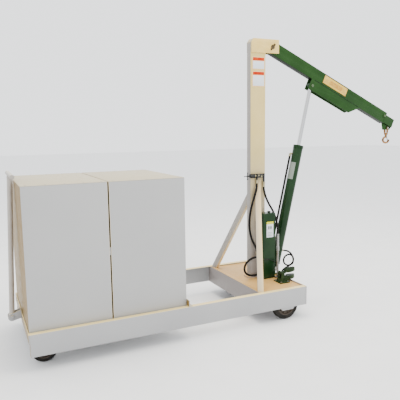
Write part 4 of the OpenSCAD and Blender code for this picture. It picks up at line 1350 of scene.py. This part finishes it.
@dataclass
class Boom:
    """Boom, extension and the plate on its side."""

    tools: Toolbox
    plate_along: tuple[float, float] = (0.523, 0.770)
    plate_up: tuple[float, float] = (-0.025, 0.037)
    plate_border: float = 0.003
    half_width: float = 0.025

    def frame(self) -> Matrix:
        """The boom's own frame at rest: along it, across it, and square to it upwards."""
        along = Vector(joint("boom_extension")["axis"]).normalized()
        return place(joint("boom_lift")["pos_m"], along, (0, 1, 0), (-along.z, 0, along.x))

    def build(self) -> None:
        """Rounds the tubes and plates, and adds the name plate's blank and the welds."""
        for node, width in (("boom_tube", 0.0035), ("extension_tube", 0.003), ("tip_lug", 0.0015),
                            ("ram_bracket_plates", 0.0012)):
            soften(node, GREEN_PAINT, width, 3)
        soften("ram_pin_stubs", PIN_GREEN, 0.001)
        soften("clamp_bolt", PIN_GREEN, 0.001)
        soften("hook_pin", ZINC, 0.0008)
        boom = self.frame()
        near = boom @ Matrix.Rotation(math.radians(90), 4, "X")
        a, b = self.plate_along
        c, d = self.plate_up
        face = self.half_width
        sunk, rim = face - SUNK, self.plate_border
        plates = (
            ("boom_plate_border", (a - rim, b + rim), (c - rim, d + rim), 0.0006, 0.0002, CARD_BORDER),
            ("boom_plate", (a, b), (c, d), 0.0012, 0.0004, CARD_CREAM),
            ("boom_plate_panel", (a + 0.062, b - 0.052), (c + 0.014, d - 0.014), 0.0016, 0.0003, CARD_TAN),
        )
        for name, across, up, out, width, finish in plates:
            put(name, panel(across, up, sunk, face + out, near, width), finish, "boom")
        for side, x in (("rear", a + 0.020), ("front", b - 0.044)):
            rules = [panel((x, x + 0.024), (w, w + 0.0032), sunk, face + 0.0015, near)
                     for w in (c + 0.016, c + 0.026, c + 0.036)]
            put("boom_plate_rules_" + side, joined(rules), CARD_TAN, "boom")
        rivets = [boom @ Vector((x, -face - 0.0014, z))
                  for x in (a + 0.008, b - 0.008) for z in (c + 0.008, d - 0.008)]
        self.tools.bolt("boom_plate_rivets", rivets, (0, -1, 0), ZINC, "boom", 0.0026, 0.0016)
        # The bracket welds are real beads, painted in the darker green as painted shade for the shadow line along the
        # bracket's top edge.
        low_edge = -0.042
        runs = [[boom @ Vector((x, y, low_edge)) for x in (0.45, 0.93)] for y in (-0.0252, 0.0252)]
        self.tools.weld("bracket_welds", runs, DARK_GREEN, "boom", 0.0024)
        mouth = [boom @ Vector((1.236, y, z)) for y, z in ((-0.0255, -0.044), (-0.0255, 0.044))]
        self.tools.weld("boom_mouth_band", [mouth], GREEN_PAINT, "boom", 0.0012)


@dataclass
class Ram:
    """Ram: barrel, gland, rod, ports and foot."""

    tools: Toolbox
    sticker_along: tuple[float, float] = (0.700, 0.832)
    sticker_turn: tuple[float, float] = (158.0, 243.0)
    barrel_r: float = 0.0375
    barrel_l: float = 0.945

    def frame(self) -> Matrix:
        """The ram's own frame at rest, with Z up its axis."""
        up = Vector(joint("ram_extend")["axis"]).normalized()
        return place(joint("ram_tilt")["pos_m"], (up.z, 0, -up.x), (0, 1, 0), up)

    def build(self) -> None:
        """Rounds the ram's parts, and adds its sticker, gland slots and base weld."""
        soften("ram_barrel", DARK_GREEN, 0.002, 3)
        soften("ram_ports", BRASS, 0.0012)
        soften("ram_foot_clevis", GREEN_PAINT, 0.0015)
        soften("ram_foot_pin", ZINC, 0.0012)
        self.rod()
        ram = self.frame()
        gland = lathe([(0.0146, 0), (0.0395, 0), (0.0395, 0.006), (0.0382, 0.0072), (0.0382, 0.0092),
                       (0.0395, 0.0104), (0.0395, 0.0215), (0.0375, 0.0238), (0.0215, 0.0238), (0.0200, 0.0215),
                       (0.0160, 0.0215), (0.0146, 0.0225), (0.0146, 0)],
                      ram @ Matrix.Translation((0, 0, self.barrel_l)), 64)
        slots = self.tools.spoke(0.0392, 4, self.barrel_l + 0.016, BLACK_PAINT, 0.0014, 0.009, 0.008, ram)
        piece = put("ram_gland_nut", gland, DARK_GREEN, "ram_barrel")
        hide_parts("ram_gland")
        put("ram_gland_slots", slots, BLACK_PAINT, "ram_barrel")
        self.sticker(ram)
        ring = [ram @ Vector((self.barrel_r * math.cos(a), self.barrel_r * math.sin(a), 0.034))
                for a in (2 * math.pi * i / 40 for i in range(41))]
        self.tools.weld("ram_base_weld", [ring], DARK_GREEN, "ram_barrel", 0.002)

    def rod(self) -> None:
        """Shows the chromed rod, its eye painted dark green as painted shade inside the ram bracket."""
        soften("ram_rod", CHROME, 0.001)
        piece = bpy.data.objects["ram_rod_finished"]
        eye = self.frame() @ Vector((0, 0, self.rod_length()))
        # Painted shade: the eye's faces get the dark green, as the bracket shades them.
        piece.data.materials.append(DARK_GREEN.material())
        for face in piece.data.polygons:
            if (face.center - eye).length < 0.029:
                face.material_index = 1

    def rod_length(self) -> float:
        """Distance from the foot pin to the middle of the rod's eye."""
        ram = self.frame().inverted()
        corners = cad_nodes()["ram_rod"].data.vertices
        return max((ram @ v.co).z for v in corners) - 0.024

    def sticker(self, ram: Matrix) -> None:
        """Wraps a plain grey sticker round part of the barrel.

        Args:
            ram: the ram's frame.
        """
        z0, z1 = self.sticker_along
        a0, a1 = (math.radians(v) for v in self.sticker_turn)
        bm = bmesh.new()
        steps, grid = 16, []
        for r in (self.barrel_r - 0.0002, self.barrel_r + 0.0006):
            for z in (z0, z1):
                turn = [a0 + (a1 - a0) * i / steps for i in range(steps + 1)]
                grid.append([bm.verts.new(ram @ Vector((r * math.cos(a), r * math.sin(a), z))) for a in turn])
        inner_low, inner_high, outer_low, outer_high = grid
        sides = ((outer_low, outer_high), (inner_high, inner_low), (inner_low, outer_low),
                 (outer_high, inner_high))
        for a, b in sides:
            for i in range(steps):
                bm.faces.new([a[i], a[i + 1], b[i + 1], b[i]])
        for i in (0, steps):
            bm.faces.new([inner_low[i], outer_low[i], outer_high[i], inner_high[i]])
        put("ram_sticker", from_bmesh(bm), CARD_GREY, "ram_barrel")


@dataclass
class Wheel:
    """One solid wheel, turned from a profile, with ribs in its recess."""

    tools: Toolbox
    node: str
    bore: float
    ribs: int = 8

    def build(self) -> None:
        """Builds the tyre and the core, which together stand for the CAD wheel."""
        low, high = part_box(self.node)
        radius, half = (high[2] - low[2]) / 2, (high[1] - low[1]) / 2
        centre = [(a + b) / 2 for a, b in zip(low, high)]
        axle = Matrix.Translation(centre) @ Matrix.Rotation(math.radians(-90), 4, "X")
        r, w = radius, half
        tyre_side = [(0.70 * r, w - 0.0035), (0.72 * r, w - 0.0015), (0.79 * r, w - 0.0008), (0.80 * r, w - 0.0022),
                     (0.82 * r, w - 0.0022), (0.83 * r, w - 0.0008), (0.90 * r, w - 0.0016), (0.95 * r, w - 0.0045),
                     (0.985 * r, w - 0.009), (r, w - 0.014)]
        tread = [(r, 0.004), (0.985 * r, 0.002), (0.985 * r, -0.002), (r, -0.004)]
        tyre = tyre_side + tread + [(x, -h) for x, h in reversed(tyre_side)]
        piece = put(self.node + "_tyre", lathe([*tyre, tyre[0]], axle, 72), TYRE_RUBBER, self.node)
        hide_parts(self.node)
        b = self.bore
        hub_side = [(b, w), (b + 0.009, w), (b + 0.011, w - 0.002), (b + 0.014, w - 0.011), (0.60 * r, w - 0.013),
                    (0.64 * r, w - 0.004), (0.70 * r, w - 0.0035)]
        hub = hub_side + [(x, -h) for x, h in reversed(hub_side)]
        core = lathe([*hub, hub[0]], axle, 64)
        length = 0.62 * r - b - 0.014
        ribs = [self.tools.spoke(b + 0.013 + length / 2, self.ribs, side * (w - 0.011), HUB_BROWN, length, 0.004,
                                 0.010, axle) for side in (-1, 1)]
        put(self.node + "_core", joined([core, *ribs]), HUB_BROWN, self.node)


@dataclass
class RunningGear:
    """Front wheels, casters and their mounts."""

    tools: Toolbox

    def build(self) -> None:
        """Builds the four wheels and dresses their mounts."""
        for node, finish in (("axle_brackets", GREY_PAINT), ("front_axles", ZINC), ("caster_top_plates", ZINC),
                             ("caster_fork_right", ZINC), ("caster_fork_left", ZINC)):
            soften(node, finish, 0.0012)
        for side in ("right", "left"):
            Wheel(self.tools, "front_wheel_" + side, 0.0101, 10).build()
            Wheel(self.tools, "caster_wheel_" + side, 0.0071, 8).build()
            pivot = joint(f"caster_{side}_swivel")["pos_m"]
            low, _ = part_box("caster_top_plates")
            race = lathe([(0.012, 0), (0.030, 0), (0.033, 0.003), (0.033, 0.007), (0.030, 0.0095), (0.012, 0.0095)],
                         Matrix.Translation((pivot[0], pivot[1], low[2] - 0.0106)), 48)
            put(f"caster_race_{side}", race, ZINC, f"caster_fork_{side}")


@dataclass
class HookGear:
    """Shackle, swivel, hook and latch."""

    def build(self) -> None:
        """Rounds the forgings."""
        soften("hook_shackle", BRONZE, 0.0022, 3)
        soften("hook", BRONZE, 0.0012, 2)
        soften("hook_latch", BLACK_PAINT, 0.0006)


@dataclass
class TowGear:
    """Tow bracket and T handle."""

    tools: Toolbox

    def build(self) -> None:
        """Rounds the handle and welds its bar on."""
        soften("tow_bracket", GREY_PAINT, 0.0015)
        soften("tow_handle", HANDLE_PAINT, 0.002)
        handle = Vector(joint("tow_handle_fold")["pos_m"])
        top_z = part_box("tow_handle")[1][2] - 0.013
        lean = math.radians(2.6)
        centre = Vector((handle.x + (top_z - handle.z) * math.tan(lean), 0, top_z))
        collar = [centre + Vector((0.0165 * math.cos(a), 0.0165 * math.sin(a), -0.0125))
                  for a in (2 * math.pi * i / 32 for i in range(33))]
        self.tools.weld("tow_bar_weld", [collar], HANDLE_PAINT, "tow_handle", 0.0022)


def dress_hidden() -> None:
    """Gives the sealed ballast its own finish."""
    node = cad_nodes()["ballast_blocks"]
    node.data.materials.clear()
    node.data.materials.append(BALLAST.material())


def report(name: str, build: Callable[[], None]) -> None:
    """Builds one sub-assembly and logs it.

    Args:
        name: what it is called in the log.
        build: the call that builds it.
    """
    build()
    LOG.info("built %s", name)


def main() -> None:
    """Builds the whole crane."""
    logging.basicConfig(level=logging.INFO, format="%(name)s: %(message)s")
    _FRAME.update(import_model())
    studio = Studio()
    report("camera", studio.camera)
    tools = Toolbox()
    hydraulics = Hydraulics(tools)
    report("hoses", hydraulics.hoses)
    report("studio", studio.build)
    report("base", Base(tools).build)
    report("running gear", RunningGear(tools).build)
    report("mast", Mast(tools).build)
    report("boom", Boom(tools).build)
    report("ram", Ram(tools).build)
    report("hydraulics", hydraulics.build)
    report("hook", HookGear().build)
    report("tow gear", TowGear(tools).build)
    report("ballast", dress_hidden)


if __name__ == "__main__":
    main()
